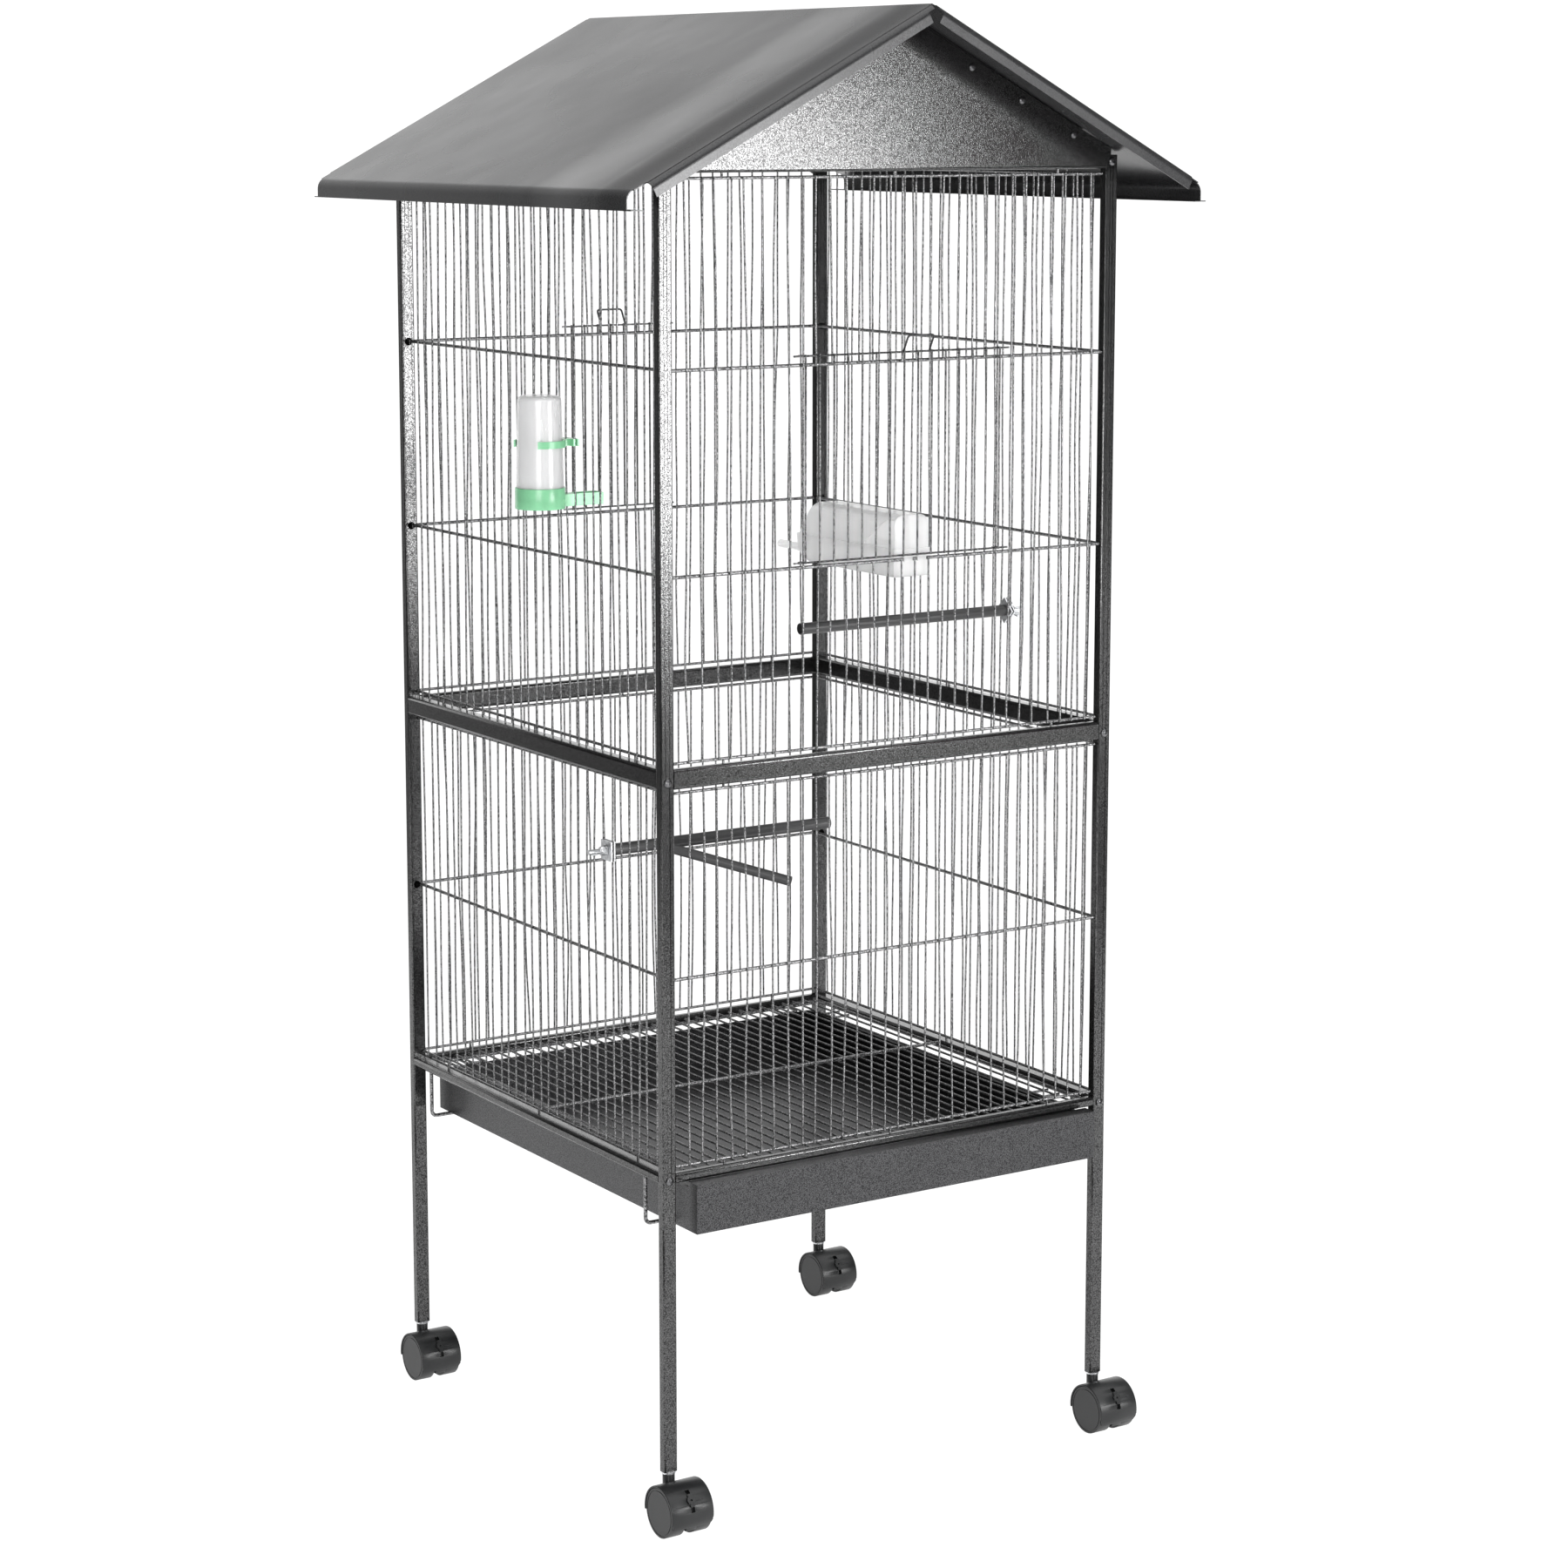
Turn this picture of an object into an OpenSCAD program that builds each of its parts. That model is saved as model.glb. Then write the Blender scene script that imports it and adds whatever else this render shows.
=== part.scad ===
/* [Frame] */
// Width of the cage body over the corner posts
cage_w = 545; // [460:1:700]
// Depth of the cage body over the corner posts
cage_d = 545; // [460:1:700]
// Width of the post tube across the front
post_w = 15; // [13:0.5:22]
// Thickness of the post tube from front to back
post_t = 10; // [9:0.5:16]
// Wall of the posts, legs and rails
tube_wall = 1; // [0.8:0.1:1.5]
// Corner radius of the post tube
tube_r = 1.5; // [1:0.1:2.5]
// Corner radius of the rails
rail_r = 3; // [2:0.1:3.5]
// Diameter of the bolts that hold the side rails
bolt_d = 4; // [3:0.5:5]
// Diameter of the bolt heads
bolt_head_d = 8.4; // [7:0.1:10]
/* [Levels] */
// Foot of the legs above the floor
leg_foot_z = 58; // [56:1:90]
// Joint between the legs and the posts
post_foot_z = 308; // [220:1:320]
// Underside of the bottom rails
low_rail_z = 353; // [345:1:480]
// Height of the bottom rails
low_rail_h = 10; // [9:0.5:20]
// Underside of the middle rails
mid_rail_z = 746; // [715:1:800]
// Height of the middle rails
mid_rail_h = 20; // [12:1:30]
// Underside of the top rails
top_rail_z = 1336; // [1320:1:1337]
// Height of the top rails
top_rail_h = 14; // [12:1:16]
// Rod across the lower section
low_rod_z = 557; // [450:1:630]
// Rod under the doors
sill_rod_z = 952; // [900:1:975]
// Rod over the doors
head_rod_z = 1150; // [1130:1:1155]
/* [Wire walls] */
// Diameter of the upright wires
wire_d = 2; // [1.6:0.1:2.4]
// Diameter of the cross rods
rod_d = 3.5; // [2.5:0.1:4]
// Diameter of the wires along the edges of each wall
edge_d = 3; // [2.5:0.1:3.5]
// Number of upright wires in each wall
wire_count = 30; // [24:1:34]
// Depth that crossing wires sink into each other at a weld
weld = 0.2; // [0.1:0.05:0.3]
// Gap between an edge wire and the rail beside it
edge_gap = 6; // [4:0.5:8]
// Front and rear rods behind the outer faces of the posts
front_wall_in = 4.6; // [4.4:0.1:5.2]
// Side rods behind the outer faces of the posts
side_wall_in = 12.5; // [6:0.5:13]
// Diameter of the round holes in the posts beside the rods
rod_hole_d = 7.6; // [5:0.1:8]
/* [Roof] */
// Width of the roof over the eaves
roof_w = 676; // [640:1:900]
// Depth of the roof along the ridge
roof_d = 676; // [600:1:900]
// Height of the ridge above the floor
ridge_z = 1496; // [1493:1:1560]
// Height of the bottom of the eaves
eave_z = 1303; // [1290:1:1306]
// Slope of the roof in degrees
roof_slope = 27.6; // [26:0.1:28]
// Thickness of the roof and gable sheets
sheet_t = 1; // [0.8:0.1:1.2]
// Outside radius of the rolled eave
eave_r = 12; // [8:0.5:14]
// Width of the lip folded in under the eave
eave_lip = 14; // [8:1:20]
// Outside radius of the bend along the front and rear edges
verge_r = 7; // [4:0.5:10]
// Depth of the flange along the front and rear edges
verge_h = 15; // [12:1:24]
// Underside of the gable sheets
gable_z = 1341; // [1337:1:1346]
// Length of the lower gable corners past the rails
gable_over = 5.5; // [2:0.5:8]
/* [Doors] */
// First upright wire that the front door takes out, counted from the left
front_first = 10; // [5:1:12]
// Number of upright wires that the front door takes out
front_cut = 13; // [9:1:15]
// First upright wire that the rear door takes out, counted from the left
rear_first = 13; // [5:1:15]
// Number of upright wires that the rear door takes out
rear_cut = 6; // [5:1:10]
// Length of the door wires past the wires that guide the door
door_side_over = 12.7; // [8:0.1:15]
// Middle of the bottom wire of the doors above the sill rod
door_low_over = 5; // [5:0.5:8]
// Middle of the top wire of the doors above the head rod
door_high_over = 9; // [6:0.5:12]
// Width of the door handles
handle_w = 31; // [20:1:50]
// Height of the door handles above the top wire of the door
handle_h = 18; // [12:1:24]
// Lean of the door handles away from the cage, in degrees
handle_lean = 28; // [0:1:40]
/* [Tray and grate] */
// Width of the tray
tray_w = 490; // [300:1:492]
// Height of the tray sides
tray_h = 44; // [25:1:46]
// Space between the tray and the bottom rails
tray_under = 5; // [3:0.5:8]
// Height of the tray front
tray_front_h = 50; // [48:1:70]
// Distance that the tray front stands out from the posts
tray_out = 18.5; // [10:0.5:40]
// Thickness of the tray sheet
tray_t = 1; // [0.8:0.1:1.5]
// Diameter of the hanger wires under the tray
hanger_d = 4; // [3:0.5:5]
// Distance of the front hanger behind the outer faces of the posts
hanger_front_in = 47; // [30:1:120]
// Distance of the rear hanger in front of the outer faces of the posts
hanger_rear_in = 37; // [30:1:120]
// Diameter of the grate wires
grate_wire_d = 2.4; // [1.8:0.1:3]
// Diameter of the frame wires of the grate
grate_rod_d = 4; // [3:0.1:5]
// Gaps between wires across the grate
grate_gaps = 34; // [20:1:38]
// Distance of the grate rests from the side posts
rest_in_x = 50; // [30:1:120]
// Distance of the grate rests from the front and rear posts
rest_in_y = 60; // [30:1:120]
/* [Perches] */
// Diameter of the perch tubes
perch_d = 12; // [10:0.5:16]
// Wall of the perch tubes
perch_wall = 1; // [0.8:0.1:1.5]
// Length of the upper perch
upper_perch_len = 262; // [120:1:300]
// Height of the upper perch
upper_perch_z = 863; // [830:1:880]
// Side wire in front of the upper perch, counted from the front
upper_perch_wire = 9; // [6:1:12]
// Length of the lower perch
lower_perch_len = 260; // [160:1:300]
// Height of the lower perch
lower_perch_z = 667; // [630:1:690]
// Side wire in front of the lower perch, counted from the front
lower_perch_wire = 6; // [6:1:12]
// Diameter of the side branch of the lower perch
branch_d = 10; // [8:0.5:10]
// Length of the side branch
branch_len = 142; // [60:1:144]
// Distance of the side branch from the wall end of the perch
branch_at = 53; // [30:1:100]
// Downward slope of the side branch in degrees
branch_slope = 13; // [0:1:20]
// Side of the square clamp plates
plate_w = 20; // [18:0.5:26]
// Thickness of the clamp plates
plate_t = 1.5; // [1:0.1:2]
// Diameter of the perch studs
stud_d = 5; // [4:0.5:6]
/* [Drinker] */
// Outside diameter of the base cup
base_d = 50; // [44:1:60]
// Underside of the base cup
base_z = 1005; // [975:1:1020]
// Height of the base cup
base_h = 20.6; // [16:0.1:26]
// Height of the bottle above the base cup
bottle_h = 91; // [80:1:110]
// Taper of the bottle from its shoulder to its top, on the diameter
bottle_taper = 3.6; // [0:0.1:6]
// Side wire in front of the drinker, counted from the front
bottle_wire = 10; // [6:1:22]
// Distance of the drinker axis outside the side wires
bottle_out = 35.5; // [35:0.5:45]
// Reach of the drinking trough inside the side wires
trough_in = 32; // [20:1:45]
// Height of the strap above the base cup
ring_over = 40; // [20:1:60]
/* [Feeder] */
// Width of the feeder
feeder_w = 44; // [34:1:60]
// Length of the feeder from the front wall
feeder_len = 178; // [120:1:200]
// Depth of the feeder under the sill rod
feeder_under = 18; // [14:1:26]
// Height of the trough of the feeder
trough_h = 28; // [24:1:34]
// Height of the hood above the trough
hood_h = 34; // [24:1:44]
// Length of the perch pin on the end of the feeder
feeder_pin = 65; // [20:1:80]
// Front wire over the middle of the feeder, counted from the left
feeder_wire = 17; // [14:1:20]
/* [Casters] */
// Diameter of the wheels
wheel_d = 50; // [44:1:50]
// Width over both wheels of a caster
caster_w = 46; // [40:1:54]
// Distance of the axle from the swivel axis
trail = 20; // [14:0.5:22]
// Diameter of the swivel pin
pin_d = 8; // [6:0.5:8]
// Diameter of the axle
axle_d = 6; // [4:0.5:8]
// Running clearance on the radius of pins and axles
run_gap = 0.05; // [0.02:0.01:0.1]
// Clearance between parts that move past each other
gap = 0.3; // [0.2:0.05:0.4]
/* [Hidden] */
$fn = 48;
cut = 1;
hx = cage_w / 2;
hy = cage_d / 2;
post_x = hx - post_w / 2;
post_y = hy - post_t / 2;
inner_x = hx - post_w;
inner_y = hy - post_t;
post_top_z = top_rail_z + top_rail_h;
bolt_low_z = low_rail_z + low_rail_h / 2 - 1.5;
bolt_mid_z = mid_rail_z + mid_rail_h / 2 - 2.5;
bolt_top_z = top_rail_z + top_rail_h / 2;
bolt_levels = [bolt_low_z, bolt_mid_z, bolt_top_z];
rail_plug = 12;
front_rod_y = hy - front_wall_in;
side_rod_x = hx - side_wall_in;
wire_off = (wire_d + rod_d) / 2 - weld;
edge_off = (wire_d + edge_d) / 2 - weld;
front_wire_y = front_rod_y + wire_off;
side_wire_x = side_rod_x + wire_off;
front_pitch = 2 * inner_x / (wire_count + 1);
side_pitch = 2 * inner_y / (wire_count + 1);
low_edge_z = low_rail_z + low_rail_h + edge_gap;
under_mid_edge_z = mid_rail_z - edge_gap + 2;
over_mid_edge_z = mid_rail_z + mid_rail_h + edge_gap - 1;
top_edge_z = top_rail_z - edge_gap + 1;
stud_wires = [3.5, wire_count / 2 + 0.5, wire_count - 2.5];
door_low_z = sill_rod_z + door_low_over;
door_high_z = head_rod_z + door_high_over;
door_y = front_wire_y + wire_d + gap + 0.1;
door_bar_y = door_y + wire_d - weld;
roof_half = roof_d / 2;
slope_len = (roof_w / 2 - eave_r + eave_r * sin(roof_slope)) / cos(roof_slope);
roof_drop = sheet_t / cos(roof_slope);
verge_end = slope_len - 14;
ridge_gap = 0.15;
ridge_start = (ridge_gap + sheet_t * sin(roof_slope)) / cos(roof_slope);
ridge_notch = 12;
eave_lap = 2;
angle_from = 34;
angle_len = min(228, (inner_x - 25) / cos(roof_slope) - angle_from);
angle_h = 15;
screw_at = [angle_from + 0.315 * angle_len, angle_from + 0.62 * angle_len, angle_from + 0.943 * angle_len];
screw_drop = 11;
screw_d = 3.8;
collar_h = 1.8;
collar_d = post_t + 4.5;
pin_top_z = leg_foot_z + 32;
tray_z = low_rail_z - tray_under - tray_h;
tray_front_y = hy + tray_out;
tray_rear_y = inner_y - 8;
hanger_z = tray_z - gap - hanger_d / 2;
grate_rod_z = low_rail_z + 3.5;
grate_wire_z = grate_rod_z + (grate_rod_d + grate_wire_d) / 2 - weld;
grate_half_x = inner_x - grate_rod_d / 2 - 3.5;
grate_rod_y = inner_y - 10.5;
grate_end_y = grate_rod_y + 6;
rest_d = 3;
rest_z = grate_rod_z - (grate_rod_d + rest_d) / 2 - gap;
perch_face_x = side_wire_x - wire_d / 2 - plate_t;
plate_out_x = side_wire_x + wire_d / 2 + plate_t;
stud_out = 20;
upper_perch_y = inner_y - (upper_perch_wire + 0.5) * side_pitch;
lower_perch_y = inner_y - (lower_perch_wire + 0.5) * side_pitch;
bottle_x = side_wire_x + bottle_out;
bottle_y = inner_y - (bottle_wire + 0.5) * side_pitch;
bottle_d = base_d - 2.6;
bottle_top_r = (bottle_d - bottle_taper) / 2;
cup_in_d = base_d - 4.8;
ring_z = base_z + base_h + ring_over;
ring_h = 7;
ring_in_r = bottle_d / 2 + gap;
trough_w = side_pitch;
feeder_x = feeder_wire * front_pitch - inner_x;
feeder_y = front_rod_y - rod_d / 2 - 0.6;
feeder_z = sill_rod_z - feeder_under;
feeder_t = 1.5;
hood_r = wheel_d / 2 + 2.5;
hood_t = 1.4;
wheel_w = 16;
web_w = caster_w - 2 * wheel_w - 2;
axle_z = wheel_d / 2;
sleeve_top_z = leg_foot_z - collar_h - gap;
brake_tilt = 35;
hub_d = 9;
window_w = 4.8;
window_h = 5.2;
window_turn = 19.5;
steel = [0.25, 0.26, 0.27];
zinc = [0.75, 0.76, 0.78];
green = [0.5, 0.83, 0.6];
clear = [0.9, 0.9, 0.91];
black = [0.12, 0.12, 0.13];

// A bar with rounded upright edges, centred in plan on the origin
module round_bar(w, d, h, r) {
  linear_extrude(height = h) {
    for (s = [-1, 1]) {
      translate([s * (w / 2 - r), d / 2 - r]) circle(r = r);
      translate([s * (w / 2 - r), r - d / 2]) circle(r = r);
    }
    square([w - 2 * r, d], center = true);
    square([w, d - 2 * r], center = true);
  }
}
// A tube of the same outline, open at both ends
module tube_bar(w, d, h, r) {
  difference() {
    round_bar(w, d, h, r);
    translate([0, 0, -cut]) {
      round_bar(w - 2 * tube_wall, d - 2 * tube_wall, h + 2 * cut, r - tube_wall / 2);
    }
  }
}
// A round wire along one axis between two places
module wire_z(x, y, z0, z1, d) {
  translate([x, y, z0]) cylinder(h = z1 - z0, d = d);
}
module wire_x(x0, x1, y, z, d) {
  translate([x0, y, z]) rotate([0, 90, 0]) cylinder(h = x1 - x0, d = d);
}
module wire_y(x, y0, y1, z, d) {
  translate([x, y0, z]) rotate([-90, 0, 0]) cylinder(h = y1 - y0, d = d);
}
// A wire bent like a staple in the XZ plane: bar along X at z = 0, both legs up
module staple(w, h, d, r) {
  wire_x(r - w / 2, w / 2 - r, 0, 0, d);
  for (s = [-1, 1]) {
    wire_z(s * w / 2, 0, r, h, d);
    translate([s * (w / 2 - r), 0, r]) rotate([90, 0, 0]) rotate([0, 0, s > 0 ? -90 : 180]) {
      rotate_extrude(angle = 90) translate([r, 0]) circle(d = d);
    }
  }
}

// Corner post with bolt holes along Y and a round hole beside each rod
module post(sx, sy) {
  color(steel) difference() {
    translate([sx * post_x, sy * post_y, post_foot_z]) {
      tube_bar(post_w, post_t, post_top_z - post_foot_z, tube_r);
    }
    for (z = bolt_levels) {
      hole_y = post_t / 2 + cut;
      wire_y(sx * post_x, sy * post_y - hole_y, sy * post_y + hole_y, z, bolt_d + gap);
    }
    for (z = [low_rod_z, sill_rod_z, head_rod_z]) {
      wire_y(sx * post_x, sy * (inner_y + 0.5) - 1.6, sy * (inner_y + 0.5) + 1.6, z, rod_hole_d);
    }
  }
}
// Leg tube with a neck that plugs into the post and a bored plug in its foot
module leg(sx, sy) {
  neck_w = post_w - 2 * tube_wall - gap;
  neck_t = post_t - 2 * tube_wall - gap;
  plug_h = pin_top_z + 4 - leg_foot_z;
  color(steel) difference() {
    translate([sx * post_x, sy * post_y, leg_foot_z]) {
      difference() {
        round_bar(post_w, post_t, post_foot_z - leg_foot_z, tube_r);
        translate([0, 0, plug_h]) {
          round_bar(neck_w, neck_t, post_foot_z - leg_foot_z - plug_h - 12, tube_r - tube_wall / 2);
        }
      }
      translate([0, 0, post_foot_z - leg_foot_z - 1]) round_bar(neck_w, neck_t, 36, tube_r - tube_wall / 2);
    }
    wire_z(sx * post_x, sy * post_y, leg_foot_z - cut, pin_top_z + 5, pin_d + 2 * run_gap);
  }
}
// Metal collars on the feet that the caster pins pass through
module leg_collars() {
  color(zinc) for (sx = [-1, 1]) {
    for (sy = [-1, 1]) {
      difference() {
        wire_z(sx * post_x, sy * post_y, leg_foot_z - collar_h, leg_foot_z, collar_d);
        wire_z(sx * post_x, sy * post_y, leg_foot_z - 2 * collar_h, leg_foot_z + cut, pin_d + 2 * run_gap);
      }
    }
  }
}

// Open tube along X between the posts
module rail_x(sy, z, h) {
  color(steel) translate([-inner_x, sy * post_y, z + h / 2]) rotate([0, 90, 0]) {
    tube_bar(h, post_t, 2 * inner_x, rail_r);
  }
}
// Tube along Y between the posts with a threaded plug in each end
module rail_y(sx, z, h, hole_z) {
  inside = 2 * (inner_y - rail_plug);
  bore_d = bolt_d + 2 * run_gap;
  color(steel) difference() {
    translate([sx * post_x, -inner_y, z + h / 2]) rotate([-90, 0, 0]) {
      difference() {
        round_bar(post_w, h, 2 * inner_y, rail_r);
        translate([0, 0, rail_plug]) {
          round_bar(post_w - 2 * tube_wall, h - 2 * tube_wall, inside, rail_r - tube_wall);
        }
      }
    }
    for (s = [-1, 1]) {
      bore_y = rail_plug + cut;
      wire_y(sx * post_x, s * inner_y - bore_y, s * inner_y + bore_y, hole_z, bore_d);
    }
  }
}
module rails(z, h, hole_z) {
  for (s = [-1, 1]) {
    rail_x(s, z, h);
    rail_y(s, z, h, hole_z);
  }
}

function front_x(i) = i * front_pitch - inner_x;
function side_y(i) = i * side_pitch - inner_y;
// Upright wires of a front or rear wall, from one number to another
module uprights_x(sy, z0, z1, first, last) {
  for (i = [first : last]) {
    wire_z(front_x(i), sy * front_wire_y, z0, z1, wire_d);
  }
}
module uprights_y(sx, z0, z1) {
  for (i = [1 : wire_count]) {
    wire_z(sx * side_wire_x, side_y(i), z0, z1, wire_d);
  }
}
// Edge wire along X with short studs that stand on a rail
module edge_x(sy, z, stud_z0, stud_z1) {
  y = sy * (front_wire_y - edge_off);
  wire_x(-inner_x + 2, inner_x - 2, y, z, edge_d);
  for (i = stud_wires) {
    wire_z(front_x(i), y, stud_z0, stud_z1, edge_d - 0.4);
  }
}
module edge_y(sx, z, stud_z0, stud_z1) {
  x = sx * (side_wire_x - edge_off);
  wire_y(x, -inner_y + 2, inner_y - 2, z, edge_d);
  for (i = stud_wires) {
    wire_z(x, side_y(i), stud_z0, stud_z1, edge_d - 0.4);
  }
}
module rod_x(sy, z) {
  wire_x(-inner_x, inner_x, sy * front_rod_y, z, rod_d);
}
module rod_y(sx, z) {
  wire_y(sx * side_rod_x, -inner_y, inner_y, z, rod_d);
}
module wall_above_door(sy) {
  color(steel) {
    uprights_x(sy, head_rod_z, top_edge_z + 1, 1, wire_count);
    rod_x(sy, head_rod_z);
    edge_x(sy, top_edge_z, top_edge_z, top_rail_z);
  }
}
module wall_beside_door(sy, first, count) {
  color(steel) {
    uprights_x(sy, sill_rod_z, head_rod_z, 1, first - 1);
    uprights_x(sy, sill_rod_z, head_rod_z, first + count, wire_count);
  }
}
module wall_below_door(sy) {
  color(steel) {
    uprights_x(sy, over_mid_edge_z - 1, sill_rod_z, 1, wire_count);
    rod_x(sy, sill_rod_z);
    edge_x(sy, over_mid_edge_z, mid_rail_z + mid_rail_h, over_mid_edge_z);
  }
}
module wall_lower(sy) {
  color(steel) {
    uprights_x(sy, low_edge_z - 1, under_mid_edge_z + 1, 1, wire_count);
    rod_x(sy, low_rod_z);
    edge_x(sy, low_edge_z, low_rail_z + low_rail_h, low_edge_z);
    edge_x(sy, under_mid_edge_z, under_mid_edge_z, mid_rail_z);
  }
}
// The upper and lower grilles of a side wall
module wall_side(sx) {
  color(steel) {
    uprights_y(sx, over_mid_edge_z - 1, top_edge_z + 1);
    rod_y(sx, sill_rod_z);
    rod_y(sx, head_rod_z);
    edge_y(sx, over_mid_edge_z, mid_rail_z + mid_rail_h, over_mid_edge_z);
    edge_y(sx, top_edge_z, top_edge_z, top_rail_z);
    uprights_y(sx, low_edge_z - 1, under_mid_edge_z + 1);
    rod_y(sx, low_rod_z);
    edge_y(sx, low_edge_z, low_rail_z + low_rail_h, low_edge_z);
    edge_y(sx, under_mid_edge_z, under_mid_edge_z, mid_rail_z);
  }
}

// Places children on a roof slope: X runs down the slope, Z stands on the sheet
module on_slope(sx) {
  mirror([sx < 0 ? 1 : 0, 0, 0]) translate([0, 0, ridge_z]) rotate([0, roof_slope, 0]) children();
}
// Cross outline of a sheet with a bend and a flange along both verges, in the YZ plane
function verge_half(s) = [
  [s * roof_half, -verge_h],
  for (a = [0 : 10 : 90]) [s * (roof_half - verge_r * (1 - cos(a))), verge_r * (sin(a) - 1)]
];
function verge_half_in(s) = [
  for (a = [90 : -10 : 0]) [
    s * (roof_half - verge_r + (verge_r - sheet_t) * cos(a)),
    (verge_r - sheet_t) * sin(a) - verge_r
  ],
  [s * (roof_half - sheet_t), -verge_h]
];
function turned(list) = [for (i = [len(list) - 1 : -1 : 0]) list[i]];
// One roof sheet along its slope, with the verges cut back at the ridge and the eave
module roof_sheet() {
  cut_y = roof_half - verge_r - 1.5;
  difference() {
    translate([ridge_start, 0, 0]) rotate([90, 0, 90]) linear_extrude(height = slope_len - ridge_start) {
      polygon(concat(verge_half(1), turned(verge_half(-1)), turned(verge_half_in(-1)), verge_half_in(1)));
    }
    for (s = [-1, 1]) {
      translate([-cut, s > 0 ? cut_y : -cut_y - 20, -verge_h - cut]) {
        cube([4 + cut, 20, verge_h + 2 * cut]);
        cube([ridge_notch + cut, 20, verge_h + cut - 4]);
        translate([verge_end + cut, 0, 0]) cube([40, 20, verge_h + 2 * cut]);
      }
    }
  }
}
// Rolled eave with its upright flange and the lip folded in under it
module eave() {
  axis_x = roof_w / 2 - eave_r;
  axis_z = ridge_z - slope_len * sin(roof_slope) - eave_r * cos(roof_slope);
  end_a = 90 - roof_slope;
  into_x = axis_x - eave_lap * cos(roof_slope);
  into_z = axis_z + eave_lap * sin(roof_slope);
  in_r = eave_r - sheet_t;
  translate([0, roof_half - 12, 0]) rotate([90, 0, 0]) linear_extrude(height = roof_d - 24) polygon(concat(
    [[roof_w / 2 - sheet_t, eave_z], [roof_w / 2, eave_z]],
    [for (i = [0 : 8]) [axis_x + eave_r * cos(i / 8 * end_a), axis_z + eave_r * sin(i / 8 * end_a)]],
    [[into_x + eave_r * cos(end_a), into_z + eave_r * sin(end_a)]],
    [[into_x + in_r * cos(end_a), into_z + in_r * sin(end_a)]],
    [for (i = [8 : -1 : 0]) [axis_x + in_r * cos(i / 8 * end_a), axis_z + in_r * sin(i / 8 * end_a)]]
  ));
  translate([roof_w / 2 - eave_lip, 4 - roof_half, eave_z]) cube([eave_lip, roof_d - 8, sheet_t]);
}
// Strip of the right sheet that laps under the left one, in the XZ plane
module ridge_lap() {
  lap = 24;
  under = roof_drop + 0.4;
  rise = lap * sin(roof_slope);
  run = lap * cos(roof_slope);
  polygon([
    [3, -3 * tan(roof_slope) - 0.2],
    [0.4, -under],
    [-run, -rise - under],
    [-run, -rise - under - roof_drop],
    [0.4, -under - roof_drop - 0.2],
    [4, -4 * tan(roof_slope) - roof_drop]
  ]);
}
module roof_right() {
  color(steel) {
    on_slope(1) roof_sheet();
    eave();
    translate([0, roof_half - 18, ridge_z]) rotate([90, 0, 0]) {
      linear_extrude(height = roof_d - 36) ridge_lap();
    }
  }
}
module roof_left() {
  color(steel) {
    on_slope(-1) roof_sheet();
    mirror([1, 0, 0]) eave();
  }
}
// Height under the roof sheets at a distance from the middle
function under_roof(x) = ridge_z - x * tan(roof_slope) - roof_drop;
module gable(sy) {
  foot_x = inner_x + gable_over;
  top = under_roof(0) - 3.2;
  side = under_roof(foot_x) - 1;
  color(steel) difference() {
    translate([0, sy > 0 ? hy + sheet_t : -hy, 0]) rotate([90, 0, 0]) linear_extrude(height = sheet_t) {
      polygon([[-foot_x, gable_z], [foot_x, gable_z], [foot_x, side], [0, top], [-foot_x, side]]);
    }
    screw_places(sy) cylinder(h = 40, d = screw_d + gap, center = true);
    for (sx = [-1, 1]) {
      wire_y(sx * post_x, sy * hy - 5, sy * hy + 5, bolt_top_z, bolt_head_d + 2 * gap);
    }
  }
}
// Puts children at each gable screw, pointing out of the gable along Z
module screw_places(sy) {
  for (sx = [-1, 1]) {
    for (u = screw_at) {
      on_slope(sx) translate([u, sy * (hy + sheet_t), -sheet_t - screw_drop]) {
        rotate([-90 * sy, 0, 0]) children();
      }
    }
  }
}
// Angle strips behind the gables that carry the roof sheets
module roof_angles() {
  strip_t = 1.2;
  for (sy = [-1, 1]) {
    y0 = sy > 0 ? hy : -hy;
    color(steel) difference() {
      for (sx = [-1, 1]) {
        on_slope(sx) {
          translate([angle_from, sy > 0 ? y0 - 12 : y0, -sheet_t - 3 - strip_t]) {
            cube([angle_len, 12, strip_t]);
          }
          translate([angle_from, sy > 0 ? y0 - strip_t : y0, -sheet_t - 3 - angle_h]) {
            cube([angle_len, strip_t, angle_h]);
          }
          translate([angle_from + 8, sy > 0 ? y0 - 9 : y0 + 3, -sheet_t - 3.1]) {
            cube([angle_len - 16, 6, 3.1]);
          }
        }
      }
      screw_places(sy) cylinder(h = 40, d = screw_d + gap, center = true);
    }
  }
}
// Button-head screw along -Z, head on the origin, with a hexagon socket
module screw(d, head_d, head_h, len) {
  difference() {
    union() {
      intersection() {
        translate([0, 0, head_h - head_d * 0.62]) sphere(d = head_d * 1.24);
        cylinder(h = head_h + cut, d = head_d);
      }
      translate([0, 0, -len]) cylinder(h = len + 0.1, d = d);
    }
    translate([0, 0, head_h * 0.45]) cylinder(h = head_h, d = head_d * 0.4, $fn = 6);
  }
}
module gable_screws() {
  color(zinc) for (sy = [-1, 1]) {
    screw_places(sy) screw(screw_d, 7, 2.4, 7);
  }
}
module frame_bolts() {
  color(zinc) for (sx = [-1, 1]) {
    for (sy = [-1, 1]) {
      for (z = bolt_levels) {
        translate([sx * post_x, sy * hy, z]) rotate([-90 * sy, 0, 0]) {
          screw(bolt_d, bolt_head_d, 3, post_t + rail_plug - 3);
        }
      }
    }
  }
}

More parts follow.
